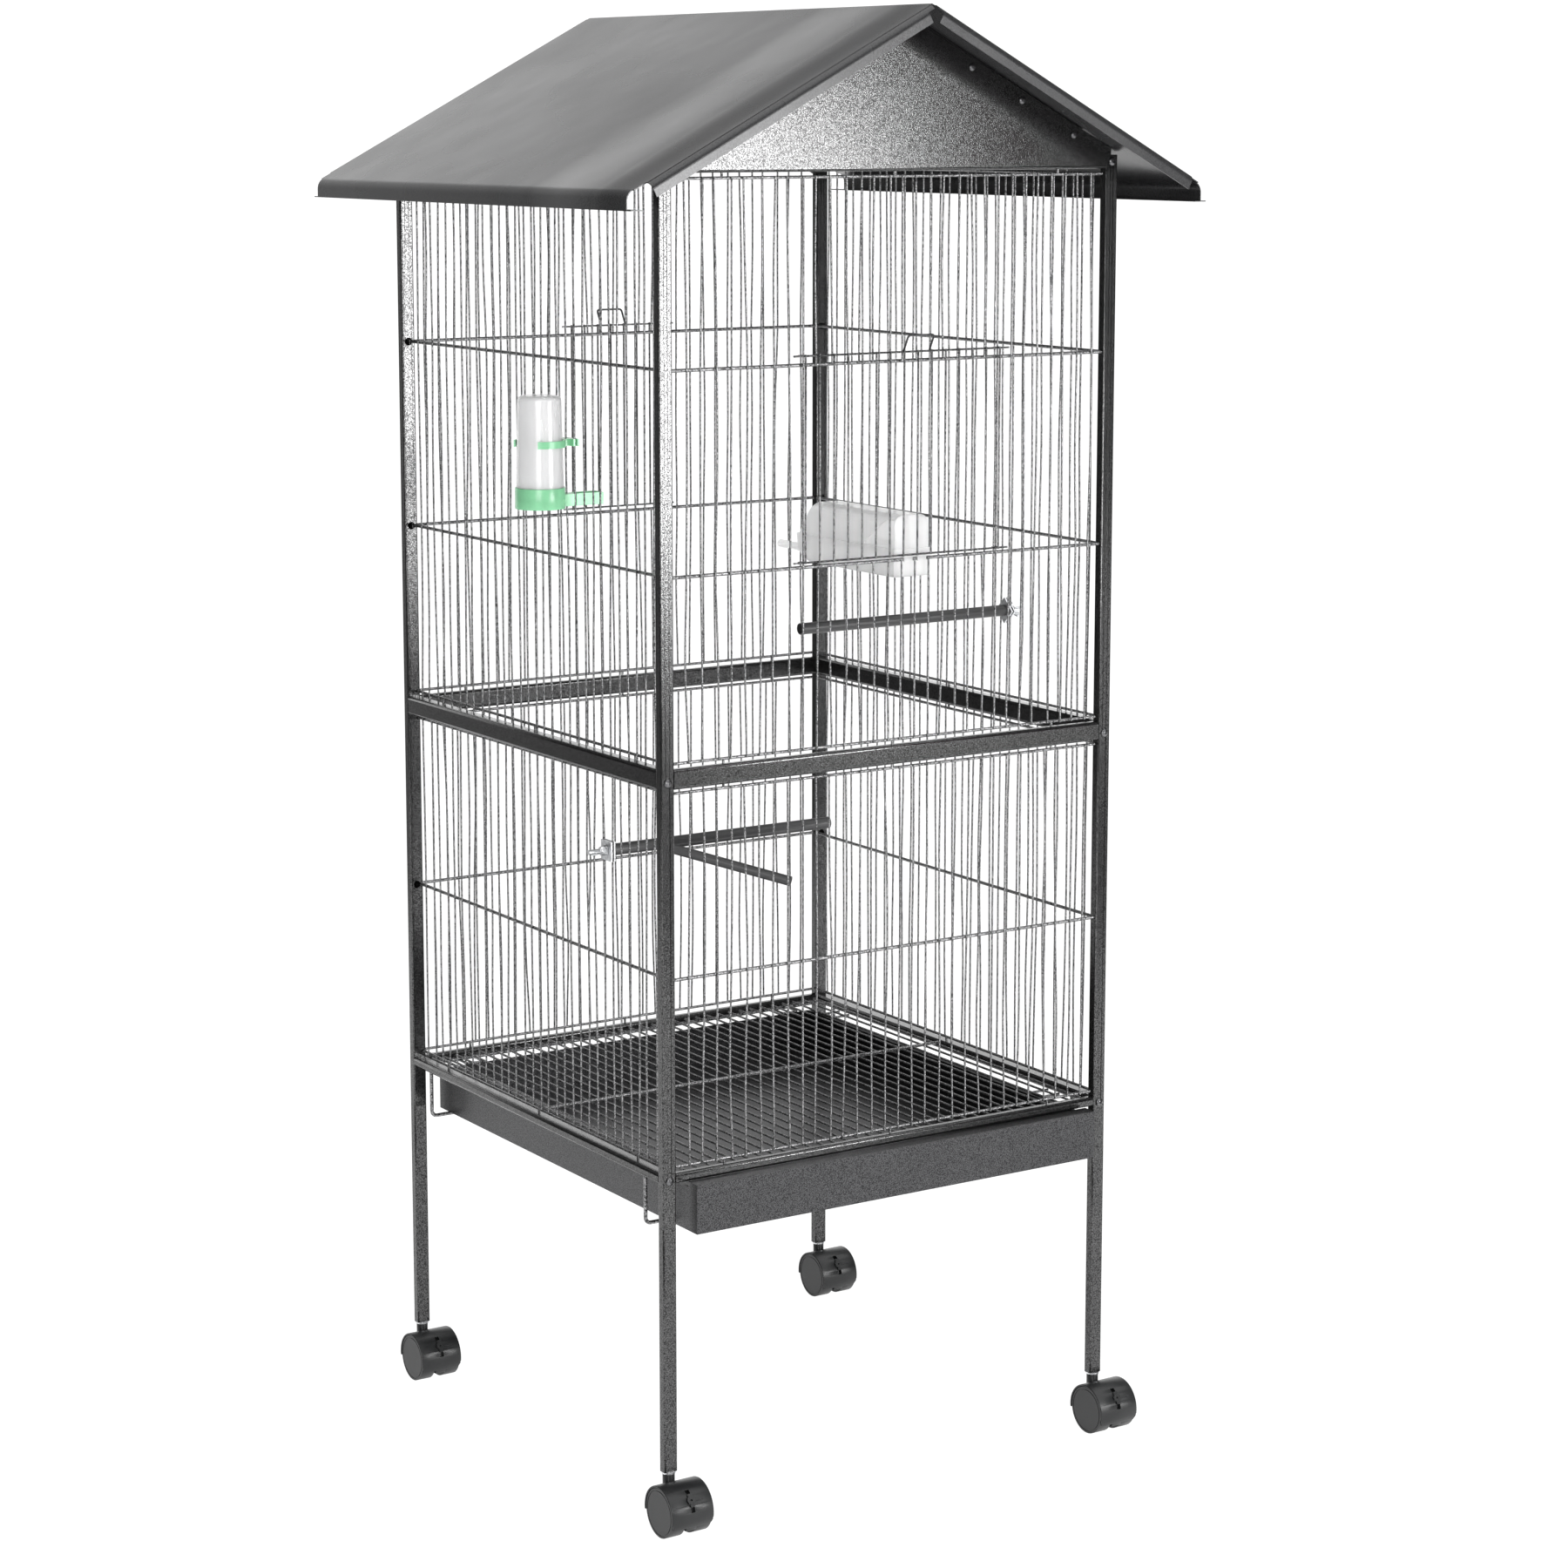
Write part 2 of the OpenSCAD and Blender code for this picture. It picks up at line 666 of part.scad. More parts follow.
// Bent wires that hang from the side rails and carry the tray
module tray_hangers() {
  color(steel) for (y = [hanger_front_in - hy, hy - hanger_rear_in]) {
    translate([0, y, hanger_z]) staple(2 * post_x, low_rail_z - hanger_z, hanger_d, 6);
  }
}
// Small wire loop welded to a rail, for the grate to lie on
module rest_loop() {
  translate([0, 22, 0]) rotate([90, 0, 0]) staple(20, 22, rest_d, 4);
}
module grate_rests() {
  across_x = inner_x - rest_in_x;
  across_y = inner_y - rest_in_y;
  color(steel) for (s = [-1, 1]) {
    translate([s * across_x, -inner_y, rest_z]) rest_loop();
    translate([s * across_x, inner_y, rest_z]) rotate([0, 0, 180]) rest_loop();
    translate([-inner_x, s * across_y, rest_z]) rotate([0, 0, -90]) rest_loop();
    translate([inner_x, s * across_y, rest_z]) rotate([0, 0, 90]) rest_loop();
  }
}
// Sheet tray whose taller front is folded back as a grip
module tray() {
  front = -tray_front_y;
  depth = tray_rear_y + tray_front_y;
  grip = tray_out - 2;
  color(steel) {
    translate([-tray_w / 2, front, tray_z]) cube([tray_w, depth, tray_t]);
    translate([-tray_w / 2, front, tray_z]) cube([tray_w, tray_t, tray_front_h]);
    translate([-tray_w / 2, tray_rear_y - tray_t, tray_z]) cube([tray_w, tray_t, tray_h]);
    translate([-tray_w / 2, front, tray_z + tray_front_h - tray_t]) cube([tray_w, grip, tray_t]);
    for (s = [0, 1]) {
      translate([s * (tray_w - tray_t) - tray_w / 2, front, tray_z]) {
        cube([tray_t, depth, tray_h]);
        cube([tray_t, grip - 5, tray_front_h]);
        intersection() {
          translate([0, grip - 5, 0]) cube([tray_t, 5, tray_front_h]);
          translate([-cut, grip - 5, tray_front_h - 5]) rotate([0, 90, 0]) cylinder(h = 3 * cut, r = 5);
        }
      }
      hem_x = s * (tray_w - 5) - tray_w / 2;
      translate([hem_x, front + tray_out + 2, tray_z + tray_h - tray_t]) {
        cube([5, depth - tray_out - 2, tray_t]);
      }
    }
  }
}
// Floor grate: close wires along Y on a frame of thicker wire
module grate() {
  pitch = 2 * grate_half_x / grate_gaps;
  color(steel) {
    for (i = [1 : grate_gaps - 1]) {
      wire_y(i * pitch - grate_half_x, -grate_end_y, grate_end_y, grate_wire_z, grate_wire_d);
    }
    for (s = [-1, 1]) {
      wire_y(s * grate_half_x, -grate_end_y, grate_end_y, grate_wire_z, grate_rod_d - 0.6);
      wire_x(-grate_half_x - 1, grate_half_x + 1, s * grate_rod_y, grate_rod_z, grate_rod_d);
    }
    top_z = grate_wire_z + (grate_rod_d + grate_wire_d) / 2 - weld;
    wire_x(-grate_half_x - 1, grate_half_x + 1, 5, top_z, grate_rod_d - 0.4);
  }
}

// Wire door: two cross wires hooked round the guide wires, close upright wires
module wire_door(first, count) {
  lo = front_x(first - 1);
  hi = front_x(first + count);
  hook_y = front_wire_y - wire_d - gap - 0.1;
  hook = wire_d + gap + 0.7;
  hook_d = wire_d - 0.2;
  for (z = [door_low_z, door_high_z]) {
    wire_x(lo - door_side_over, hi + door_side_over, -door_y, z, wire_d);
    wire_y(lo - hook, -door_y, -hook_y, z, hook_d);
    wire_y(hi + hook, -door_y, -hook_y, z, hook_d);
    wire_x(lo - hook - 1.3, lo + 3, -hook_y, z, wire_d);
    wire_x(hi - 3, hi + hook + 1.3, -hook_y, z, wire_d);
  }
  for (i = [first - 1 : first + count]) {
    wire_z(front_x(i), -door_bar_y, door_low_z - 1, door_high_z + 1.5, wire_d);
  }
}
// Bent wire handle that leans out from the top wire of a door
module door_handle() {
  translate([0, 0, door_high_z]) rotate([handle_lean, 0, 0]) {
    translate([0, 0, handle_h + wire_d / 2]) rotate([0, 180, 0]) {
      staple(handle_w, handle_h - wire_d / 4, wire_d, 3);
    }
  }
}
module door_front() {
  color(steel) wire_door(front_first, front_cut);
}
module door_rear() {
  color(steel) mirror([0, 1, 0]) wire_door(rear_first, rear_cut);
}
module handle_front() {
  x = (front_x(front_first) + front_x(front_first + front_cut - 1)) / 2 + 14;
  color(steel) translate([x, -door_bar_y, 0]) door_handle();
}
module handle_rear() {
  x = (front_x(rear_first) + front_x(rear_first + rear_cut - 1)) / 2 - 5;
  color(steel) translate([x, door_bar_y, 0]) mirror([0, 1, 0]) door_handle();
}

// Perch tube along X from the origin, with a bored plug at the wall end
module perch_tube(len) {
  difference() {
    rotate([0, 90, 0]) cylinder(h = len, d = perch_d);
    translate([12, 0, 0]) rotate([0, 90, 0]) cylinder(h = len, d = perch_d - 2 * perch_wall);
    translate([-cut, 0, 0]) rotate([0, 90, 0]) cylinder(h = 14, d = stud_d + 2 * run_gap);
  }
}
module perch_upper() {
  color(steel) translate([perch_face_x, -upper_perch_y, upper_perch_z]) rotate([0, 0, 180]) {
    perch_tube(upper_perch_len);
  }
}
// Places children along the side branch of the lower perch
module along_branch() {
  translate([branch_at, 0, 0]) rotate([0, 90 + branch_slope, -45]) children();
}
// Lower perch with a welded branch that runs forward and down
module perch_lower() {
  branch_in_d = branch_d - 2 * perch_wall;
  color(steel) translate([-perch_face_x, -lower_perch_y, lower_perch_z]) {
    difference() {
      perch_tube(lower_perch_len);
      along_branch() cylinder(h = perch_d, d = branch_in_d);
    }
    difference() {
      along_branch() difference() {
        cylinder(h = branch_len, d = branch_d);
        translate([0, 0, -cut]) cylinder(h = branch_len + 2 * cut, d = branch_in_d);
      }
      wire_x(13, lower_perch_len - 1, 0, 0, perch_d - 2 * perch_wall);
    }
  }
}
// Square clamp plate in the YZ plane with a hole for the stud
module clamp_plate(x, turn) {
  difference() {
    translate([x, 0, 0]) rotate([turn, 0, 0]) {
      translate([0, -plate_w / 2, -plate_w / 2]) cube([plate_t, plate_w, plate_w]);
    }
    wire_x(x - cut, x + plate_t + cut, 0, 0, stud_d + gap);
  }
}
module plate_pair(turn) {
  clamp_plate(perch_face_x, turn);
  clamp_plate(plate_out_x - plate_t, turn);
}
module perch_plates() {
  color(zinc) {
    translate([0, -upper_perch_y, upper_perch_z]) plate_pair(45);
    translate([0, -lower_perch_y, lower_perch_z]) mirror([1, 0, 0]) plate_pair(0);
  }
}
module perch_studs() {
  color(zinc) {
    wire_x(perch_face_x - 11, plate_out_x + stud_out, -upper_perch_y, upper_perch_z, stud_d);
    wire_x(-plate_out_x - stud_out, -perch_face_x + 11, -lower_perch_y, lower_perch_z, stud_d);
  }
}
// Wing nut along X with its face on the origin
module wing_nut() {
  color(zinc) difference() {
    union() {
      rotate([0, 90, 0]) cylinder(h = 6, d1 = 11, d2 = 9);
      for (s = [-1, 1]) {
        hull() {
          translate([2.5, s * 4, 0]) rotate([90, 0, 0]) cylinder(h = 1.6, d = 3.4, center = true, $fn = 24);
          translate([8.5, s * 10, 0]) rotate([90, 0, 0]) cylinder(h = 1.6, d = 6, center = true, $fn = 24);
        }
      }
    }
    translate([-cut, 0, 0]) rotate([0, 90, 0]) cylinder(h = 14, d = stud_d + 2 * run_gap);
  }
}
module wing_nut_upper() {
  translate([plate_out_x + gap, -upper_perch_y, upper_perch_z]) rotate([30, 0, 0]) wing_nut();
}
module wing_nut_lower() {
  translate([-plate_out_x - gap, -lower_perch_y, lower_perch_z]) rotate([20, 0, 180]) wing_nut();
}

// Half outline of the bottle, drawn in from its outside by t
function bottle_outline(t, z0) = concat(
  [[0, z0], [cup_in_d / 2 - gap - t, z0]],
  t > 0
    ? [[cup_in_d / 2 - gap - t, base_h + gap + t], [bottle_d / 2 - t, base_h + gap + 2 * t]]
    : [[cup_in_d / 2 - gap, base_h + gap], [bottle_d / 2, base_h + gap]],
  [for (a = [0 : 15 : 90]) [bottle_top_r - 5 + (5 - t) * cos(a), base_h + bottle_h - 5 + (5 - t) * sin(a)]],
  [[0, base_h + bottle_h - t]]
);
module at_drinker() {
  translate([-bottle_x, -bottle_y, base_z]) children();
}
// Clear bottle, mouth down in the base cup
module bottle() {
  color(clear) at_drinker() difference() {
    rotate_extrude() polygon(bottle_outline(0, 8));
    rotate_extrude() polygon(bottle_outline(1.2, 7));
  }
}
// Base cup with a drinking trough that reaches between the side wires
module drinker_base() {
  wire_in = bottle_out - wire_d / 2 - gap;
  wire_out = bottle_out + wire_d / 2 + gap;
  end = bottle_out + trough_in;
  neck_w = trough_w - wire_d - 4;
  color(green) at_drinker() difference() {
    union() {
      cylinder(h = base_h, d = base_d);
      translate([0, -trough_w / 2, 1]) cube([wire_in, trough_w, 12]);
      translate([0, -neck_w / 2, 1]) cube([end - 2, neck_w, 12]);
      translate([wire_out, -trough_w / 2, 1]) cube([end - wire_out, trough_w, 12]);
    }
    translate([0, 0, 2]) cylinder(h = base_h, d = cup_in_d);
    translate([wire_out + 1.5, 1.5 - trough_w / 2, 2.5]) cube([end - wire_out - 3, trough_w - 3, 12]);
    translate([cup_in_d / 2 - 2, -2.5, 2.5]) cube([wire_out - cup_in_d / 2 + 4, 5, 6]);
  }
}
// Open strap round the bottle with a tail clipped behind the side wires
module bottle_strap() {
  ring_t = 1.7;
  behind = bottle_out + wire_d / 2 + gap;
  before = bottle_out - wire_d / 2 - gap;
  color(green) translate([-bottle_x, -bottle_y, ring_z]) {
    rotate([0, 0, -123]) rotate_extrude(angle = 270) translate([ring_in_r, 0]) square([ring_t, ring_h]);
    translate([ring_in_r + 0.4, -4.5, 0]) cube([behind + 2.5 - ring_in_r - 0.4, 9, ring_h]);
    for (x = [before - 2, behind]) {
      translate([x, -11, 0]) cube([2, 22, ring_h]);
    }
  }
}

// Side outline of the trough in the YZ plane, drawn in by t
function trough_outline(t) = [
  [t, t], [feeder_len - 26, t],
  [feeder_len - 10 - t / 2, 5 + t / 2], [feeder_len - 2 - t, 14], [feeder_len - t, trough_h],
  [feeder_len - t, trough_h + 2 * t], [t, trough_h + 2 * t]
];
module at_feeder() {
  translate([feeder_x, -feeder_y, feeder_z]) children();
}
// Extrudes a YZ outline along X, centred
module along_x(w) {
  translate([-w / 2, 0, 0]) rotate([90, 0, 90]) linear_extrude(height = w) children();
}
// Feeder trough with a perch pin and two lips that hang on the sill rod
module feeder_trough() {
  lip_z = feeder_under + rod_d / 2 + 0.35;
  lip_out = rod_d + 0.6 + 0.35;
  color(clear) at_feeder() {
    difference() {
      along_x(feeder_w) polygon(trough_outline(0));
      along_x(feeder_w - 2 * feeder_t) polygon(trough_outline(feeder_t));
    }
    wire_y(0, feeder_len - 3, feeder_len + feeder_pin, 9, 8);
    for (s = [-1, 1]) {
      translate([s * front_pitch / 2 - 5, 0, lip_z]) {
        translate([0, -lip_out - feeder_t, 0]) cube([10, lip_out + 2 * feeder_t, feeder_t]);
        translate([0, -lip_out - feeder_t, -4.5]) cube([10, feeder_t, 5]);
      }
    }
  }
}
// Side outline of the hood, with a sloping rear end
function hood_outline(t, z0) = [
  [t, z0], [feeder_len - 5 - t, z0], [feeder_len - 5 - t, trough_h + 1],
  [feeder_len - 30 - t, trough_h + hood_h - t], [t, trough_h + hood_h - t]
];
// Cross outline of the hood with rounded shoulders
function hood_arch(w, t, z0) = concat(
  [[t - w / 2, z0], [w / 2 - t, z0]],
  [for (a = [0 : 15 : 90]) [w / 2 - 10 + (10 - t) * cos(a), trough_h + hood_h - 10 + (10 - t) * sin(a)]],
  [for (a = [90 : 15 : 180]) [10 - w / 2 + (10 - t) * cos(a), trough_h + hood_h - 10 + (10 - t) * sin(a)]]
);
module hood_body(w, t, z0) {
  intersection() {
    along_x(w) polygon(hood_outline(t, z0));
    translate([0, feeder_len + cut, 0]) rotate([90, 0, 0]) linear_extrude(height = feeder_len + 2 * cut) {
      polygon(hood_arch(w, t, z0));
    }
  }
}
// Feeder hood, open below and cut away on one side near the wall
module feeder_hood() {
  w = feeder_w - 2 * feeder_t - 2 * gap;
  sweep = 38;
  near = 16;
  low = trough_h + 3;
  color(clear) at_feeder() translate([0, feeder_t + gap, 0]) difference() {
    hood_body(w, 0, trough_h - 6);
    hood_body(w, 1.3, trough_h - 7);
    translate([-w, 0, 0]) rotate([90, 0, 90]) linear_extrude(height = w) {
      polygon(concat(
        [[3, trough_h + 1], [near + sweep, trough_h + 1]],
        [for (a = [0 : 20 : 180]) [near + sweep * (1 + cos(a)) / 2, low + (hood_h - 9) * (1 - cos(a)) / 2]],
        [[3, trough_h + hood_h - 6]]
      ));
    }
  }
}

// Puts children on the top of the hood where the brake turns
module at_brake() {
  translate([0, -trail, axle_z]) rotate([90 - brake_tilt, 0, 0]) children();
}
// Caster: hood over both wheels, web between them, sleeve and swivel pin
module caster(sx, sy) {
  rear_z = 28;
  back_z = 21;
  front_z = 14;
  corner = 6;
  color(black) translate([sx * post_x, sy * post_y, 0]) difference() {
    union() {
      difference() {
        translate([0, -trail, axle_z]) rotate([0, 90, 0]) cylinder(h = caster_w, r = hood_r, center = true);
        translate([0, -trail, axle_z]) rotate([0, 90, 0]) {
          cylinder(h = caster_w + 2 * cut, r = hood_r - hood_t, center = true);
        }
        translate([-caster_w, -trail, -hood_r]) cube([2 * caster_w, 2 * hood_r, back_z + hood_r]);
        translate([-caster_w, -trail - 2 * hood_r, -hood_r]) {
          cube([2 * caster_w, 2 * hood_r, front_z + hood_r]);
        }
        for (s = [-1, 1]) {
          translate([s * caster_w / 2, -trail, front_z]) rotate([90, 0, 0]) linear_extrude(2 * hood_r) {
            polygon([[-s * corner / 2, -cut], [s * cut, -cut], [s * cut, corner]]);
          }
        }
      }
      intersection() {
        wire_x(-web_w / 2, web_w / 2, -trail, axle_z, 2 * hood_r - 2);
        translate([-web_w, -trail - 2 * hood_r, 10]) cube([2 * web_w, 4 * hood_r, 2 * hood_r]);
      }
      wire_z(0, 0, rear_z, sleeve_top_z, 12.4);
      wire_z(0, 0, rear_z + 1, pin_top_z - 2, pin_d);
    }
    translate([0, -trail, axle_z]) rotate([0, 90, 0]) {
      cylinder(h = 3 * caster_w, d = axle_d + 2 * run_gap, center = true);
    }
    at_brake() translate([0, 0, hood_r - 4.5]) cylinder(h = 10, d = hub_d + 2 * run_gap);
    for (a = [-1, 1]) {
      at_brake() rotate([a * window_turn, 0, 0]) {
        translate([-window_w / 2, -window_h / 2, hood_r - 3 * hood_t]) cube([window_w, window_h, 4 * hood_t]);
      }
    }
  }
}
// Two wheels on their axle, each with a shallow groove round its disc
module wheels(sx, sy) {
  color(black) translate([sx * post_x, sy * post_y - trail, axle_z]) {
    for (s = [-1, 1]) {
      difference() {
        translate([s > 0 ? caster_w / 2 - wheel_w : -caster_w / 2, 0, 0]) rotate([0, 90, 0]) {
          cylinder(h = wheel_w, d = wheel_d);
        }
        translate([s * caster_w / 2, 0, 0]) rotate([0, 90, 0]) difference() {
          cylinder(h = 1, d = wheel_d - 4, center = true);
          cylinder(h = 2, d = wheel_d - 6, center = true);
        }
      }
    }
    rotate([0, 90, 0]) cylinder(h = caster_w - 2, d = axle_d, center = true);
  }
}
// Brake lever: a hub in the hood, a rocker plate on it and a thin arm along the axle direction
module brake(sx, sy) {
  arm_r = hood_r + gap;
  color(black) translate([sx * post_x, sy * post_y, 0]) at_brake() {
    difference() {
      union() {
        translate([0, 0, hood_r - 3.5]) cylinder(h = 5.2, d = hub_d);
        translate([-window_w / 2, -hub_d * 0.75, arm_r]) cube([window_w, hub_d * 1.5, 0.9]);
      }
      translate([0, 0, hood_r]) cylinder(h = 3, d = 2);
    }
    translate([2, -0.9, arm_r]) cube([13, 1.8, 0.9]);
  }
}

post(-1, -1);  // post_front_left
post(1, -1);  // post_front_right
post(-1, 1);  // post_rear_left
post(1, 1);  // post_rear_right
rails(top_rail_z, top_rail_h, bolt_top_z);  // rails_top
rails(mid_rail_z, mid_rail_h, bolt_mid_z);  // rails_middle
rails(low_rail_z, low_rail_h, bolt_low_z);  // rails_bottom
wall_above_door(-1);  // wires_front_above_door
wall_beside_door(-1, front_first, front_cut);  // wires_front_beside_door
wall_below_door(-1);  // wires_front_below_door
wall_lower(-1);  // wires_front_lower
wall_above_door(1);  // wires_rear_above_door
wall_beside_door(1, rear_first, rear_cut);  // wires_rear_beside_door
wall_below_door(1);  // wires_rear_below_door
wall_lower(1);  // wires_rear_lower
wall_side(-1);  // wires_left
wall_side(1);  // wires_right
roof_left();
roof_right();
gable(-1);  // gable_front
gable(1);  // gable_rear
roof_angles();
gable_screws();
frame_bolts();
tray_hangers();
grate_rests();
leg(-1, -1);  // leg_front_left
leg(1, -1);  // leg_front_right
leg(-1, 1);  // leg_rear_left
leg(1, 1);  // leg_rear_right
leg_collars();
perch_upper();
perch_lower();
perch_plates();
perch_studs();
wing_nut_upper();
wing_nut_lower();
bottle();
drinker_base();
bottle_strap();
feeder_trough();
feeder_hood();
tray();
grate();
door_front();
door_rear();
handle_front();
handle_rear();
caster(-1, -1);  // caster_front_left
caster(1, -1);  // caster_front_right
caster(-1, 1);  // caster_rear_left
caster(1, 1);  // caster_rear_right
wheels(-1, -1);  // wheels_front_left
wheels(1, -1);  // wheels_front_right
wheels(-1, 1);  // wheels_rear_left
wheels(1, 1);  // wheels_rear_right
brake(-1, -1);  // brake_front_left
brake(1, -1);  // brake_front_right
brake(-1, 1);  // brake_rear_left
brake(1, 1);  // brake_rear_right
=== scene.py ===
"""Looks of a bird cage on a wheeled stand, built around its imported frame."""

import math
import random

import bmesh
import bpy
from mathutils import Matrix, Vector


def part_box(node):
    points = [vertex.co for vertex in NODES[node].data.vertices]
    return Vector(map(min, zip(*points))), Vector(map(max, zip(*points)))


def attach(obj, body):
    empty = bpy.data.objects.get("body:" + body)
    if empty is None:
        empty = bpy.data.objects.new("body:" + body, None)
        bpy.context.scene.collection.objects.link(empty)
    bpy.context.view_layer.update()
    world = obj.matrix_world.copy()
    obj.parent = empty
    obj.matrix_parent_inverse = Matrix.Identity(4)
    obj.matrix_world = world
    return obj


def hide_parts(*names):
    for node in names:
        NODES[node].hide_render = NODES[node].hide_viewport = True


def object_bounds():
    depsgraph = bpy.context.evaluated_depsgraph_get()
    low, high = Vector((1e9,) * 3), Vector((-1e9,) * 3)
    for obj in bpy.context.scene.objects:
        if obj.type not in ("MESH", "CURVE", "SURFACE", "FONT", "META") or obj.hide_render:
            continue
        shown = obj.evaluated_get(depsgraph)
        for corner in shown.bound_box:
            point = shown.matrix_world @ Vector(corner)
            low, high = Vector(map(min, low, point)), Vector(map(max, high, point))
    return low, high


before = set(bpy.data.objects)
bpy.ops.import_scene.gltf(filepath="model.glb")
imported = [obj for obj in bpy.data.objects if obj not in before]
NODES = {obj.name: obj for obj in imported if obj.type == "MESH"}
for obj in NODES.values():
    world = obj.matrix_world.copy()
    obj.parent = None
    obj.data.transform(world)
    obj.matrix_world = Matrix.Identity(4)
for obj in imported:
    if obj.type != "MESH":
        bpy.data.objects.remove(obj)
CAD_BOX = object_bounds()
MM = 0.001


# ---------------------------------------------------------------- shader building blocks

MIX_FLOAT_A, MIX_FLOAT_B, MIX_FLOAT_OUT = 2, 3, 0  # sockets of a Mix node set to FLOAT
MIX_COLOUR_A, MIX_COLOUR_B, MIX_COLOUR_OUT = 6, 7, 2  # sockets of a Mix node set to RGBA


def new_material(name):
    """An empty node material with its Principled shader and its tree."""
    material = bpy.data.materials.new(name)
    material.use_nodes = True
    tree = material.node_tree
    tree.nodes.clear()
    shader = tree.nodes.new("ShaderNodeBsdfPrincipled")
    output = tree.nodes.new("ShaderNodeOutputMaterial")
    tree.links.new(shader.outputs["BSDF"], output.inputs["Surface"])
    return material, tree, shader


def supply(tree, socket, value):
    """Links a socket to the output that feeds it, or sets its constant."""
    if isinstance(value, bpy.types.NodeSocket):
        tree.links.new(value, socket)
    elif socket.type == "RGBA":
        socket.default_value = (*value, 1.0)
    else:
        socket.default_value = value


def add(tree, kind, inputs=None, **settings):
    """Adds one shader node.

    Inputs go by name or number; each is a constant or the output socket that feeds it.
    """
    made = tree.nodes.new("ShaderNode" + kind)
    for name, value in settings.items():
        setattr(made, name, value)
    for name, value in (inputs or {}).items():
        supply(tree, made.inputs[name], value)
    return made


def place(tree):
    """The point on the object at rest, in metres."""
    return add(tree, "TexCoord").outputs["Object"]


def noise(tree, point, size, detail=2.0):
    """Soft noise from 0 to 1 whose features are about size metres wide."""
    inputs = {"Vector": point, "Scale": 1 / size, "Detail": detail, "Roughness": 0.5}
    return add(tree, "TexNoise", inputs).outputs["Fac"]


def cells(tree, point, size):
    """Distance from the middle of rounded cells about size metres wide."""
    inputs = {"Vector": point, "Scale": 1 / size, "Smoothness": 0.35}
    return add(tree, "TexVoronoi", inputs, feature="SMOOTH_F1").outputs["Distance"]


def ramp(tree, factor, low, high, from_low=0.0, from_high=1.0):
    """A value that goes from low to high as factor goes from from_low to from_high."""
    inputs = {
        "Value": factor,
        "From Min": from_low,
        "From Max": from_high,
        "To Min": low,
        "To Max": high,
    }
    return add(tree, "MapRange", inputs).outputs["Result"]


def smooth_step(tree, factor, start, end):
    """0 below start, 1 above end, with a soft change between them."""
    inputs = {"Value": factor, "From Min": start, "From Max": end}
    return add(tree, "MapRange", inputs, interpolation_type="SMOOTHSTEP").outputs["Result"]


def math_node(tree, operation, a, b):
    """The result of one Math node on two values."""
    return add(tree, "Math", {0: a, 1: b}, operation=operation).outputs["Value"]


def stretch(tree, point, scales):
    """The point with each of its coordinates multiplied by its own scale."""
    made = add(tree, "VectorMath", {0: point, 1: scales}, operation="MULTIPLY")
    return made.outputs["Vector"]


def blend_colours(tree, factor, a, b):
    """Colour a where factor is 0 and colour b where it is 1."""
    inputs = {"Factor": factor, MIX_COLOUR_A: a, MIX_COLOUR_B: b}
    return add(tree, "Mix", inputs, data_type="RGBA").outputs[MIX_COLOUR_OUT]


def bump(tree, height, depth, below=None):
    """Normals of a relief depth metres deep, on top of another relief."""
    inputs = {"Height": height, "Strength": 1.0, "Distance": depth}
    if below is not None:
        inputs["Normal"] = below
    return add(tree, "Bump", inputs).outputs["Normal"]


def feed(tree, shader, **sockets):
    """Links or sets the Principled shader's sockets by name, with underscores for spaces."""
    for name, value in sockets.items():
        supply(tree, shader.inputs[name.replace("_", " ")], value)


def shade(tone, factor):
    """A tone made darker or lighter by a factor."""
    return tuple(min(1.0, c * factor) for c in tone)


# ---------------------------------------------------------------- materials


def hammered_paint(name, cell, depth, dark, light, gloss, mottle=1.0):
    """Hammer-tone powder coat: rounded cells with darker creases, and a slow random drift in tone
    that also serves as painted reflection, soft patches of lighter and darker steel.
    """
    material, tree, shader = new_material(name)
    point = place(tree)
    warp = noise(tree, point, size=cell * 3, detail=1.0)
    cell_height = cells(tree, point, cell)
    grain = noise(tree, point, size=cell * 0.6, detail=1.0)
    grain = ramp(tree, grain, low=0.0, high=1.4, from_low=0.2, from_high=0.8)
    height = math_node(tree, "SUBTRACT", grain, cell_height)
    warped = math_node(tree, "ADD", height, math_node(tree, "MULTIPLY", warp, 0.25))
    speck = ramp(tree, warped, low=0, high=1, from_low=-0.1, from_high=0.9)
    # painted reflection: a slow random drift in tone paints in the soft variation of the steel's
    # reflections
    drift = ramp(tree, noise(tree, point, size=90 * MM), low=0.9, high=1.1)
    tone = blend_colours(tree, speck, dark, light)
    tone_with_painted_reflection_drift = add(tree, "VectorMath", {0: tone, "Scale": drift}, operation="SCALE")
    feed(
        tree,
        shader,
        Base_Color=tone_with_painted_reflection_drift.outputs["Vector"],
        Metallic=0.85,
        Roughness=ramp(tree, speck, low=gloss + 0.08 * mottle, high=gloss),
        Normal=bump(tree, height, depth),
    )
    return material


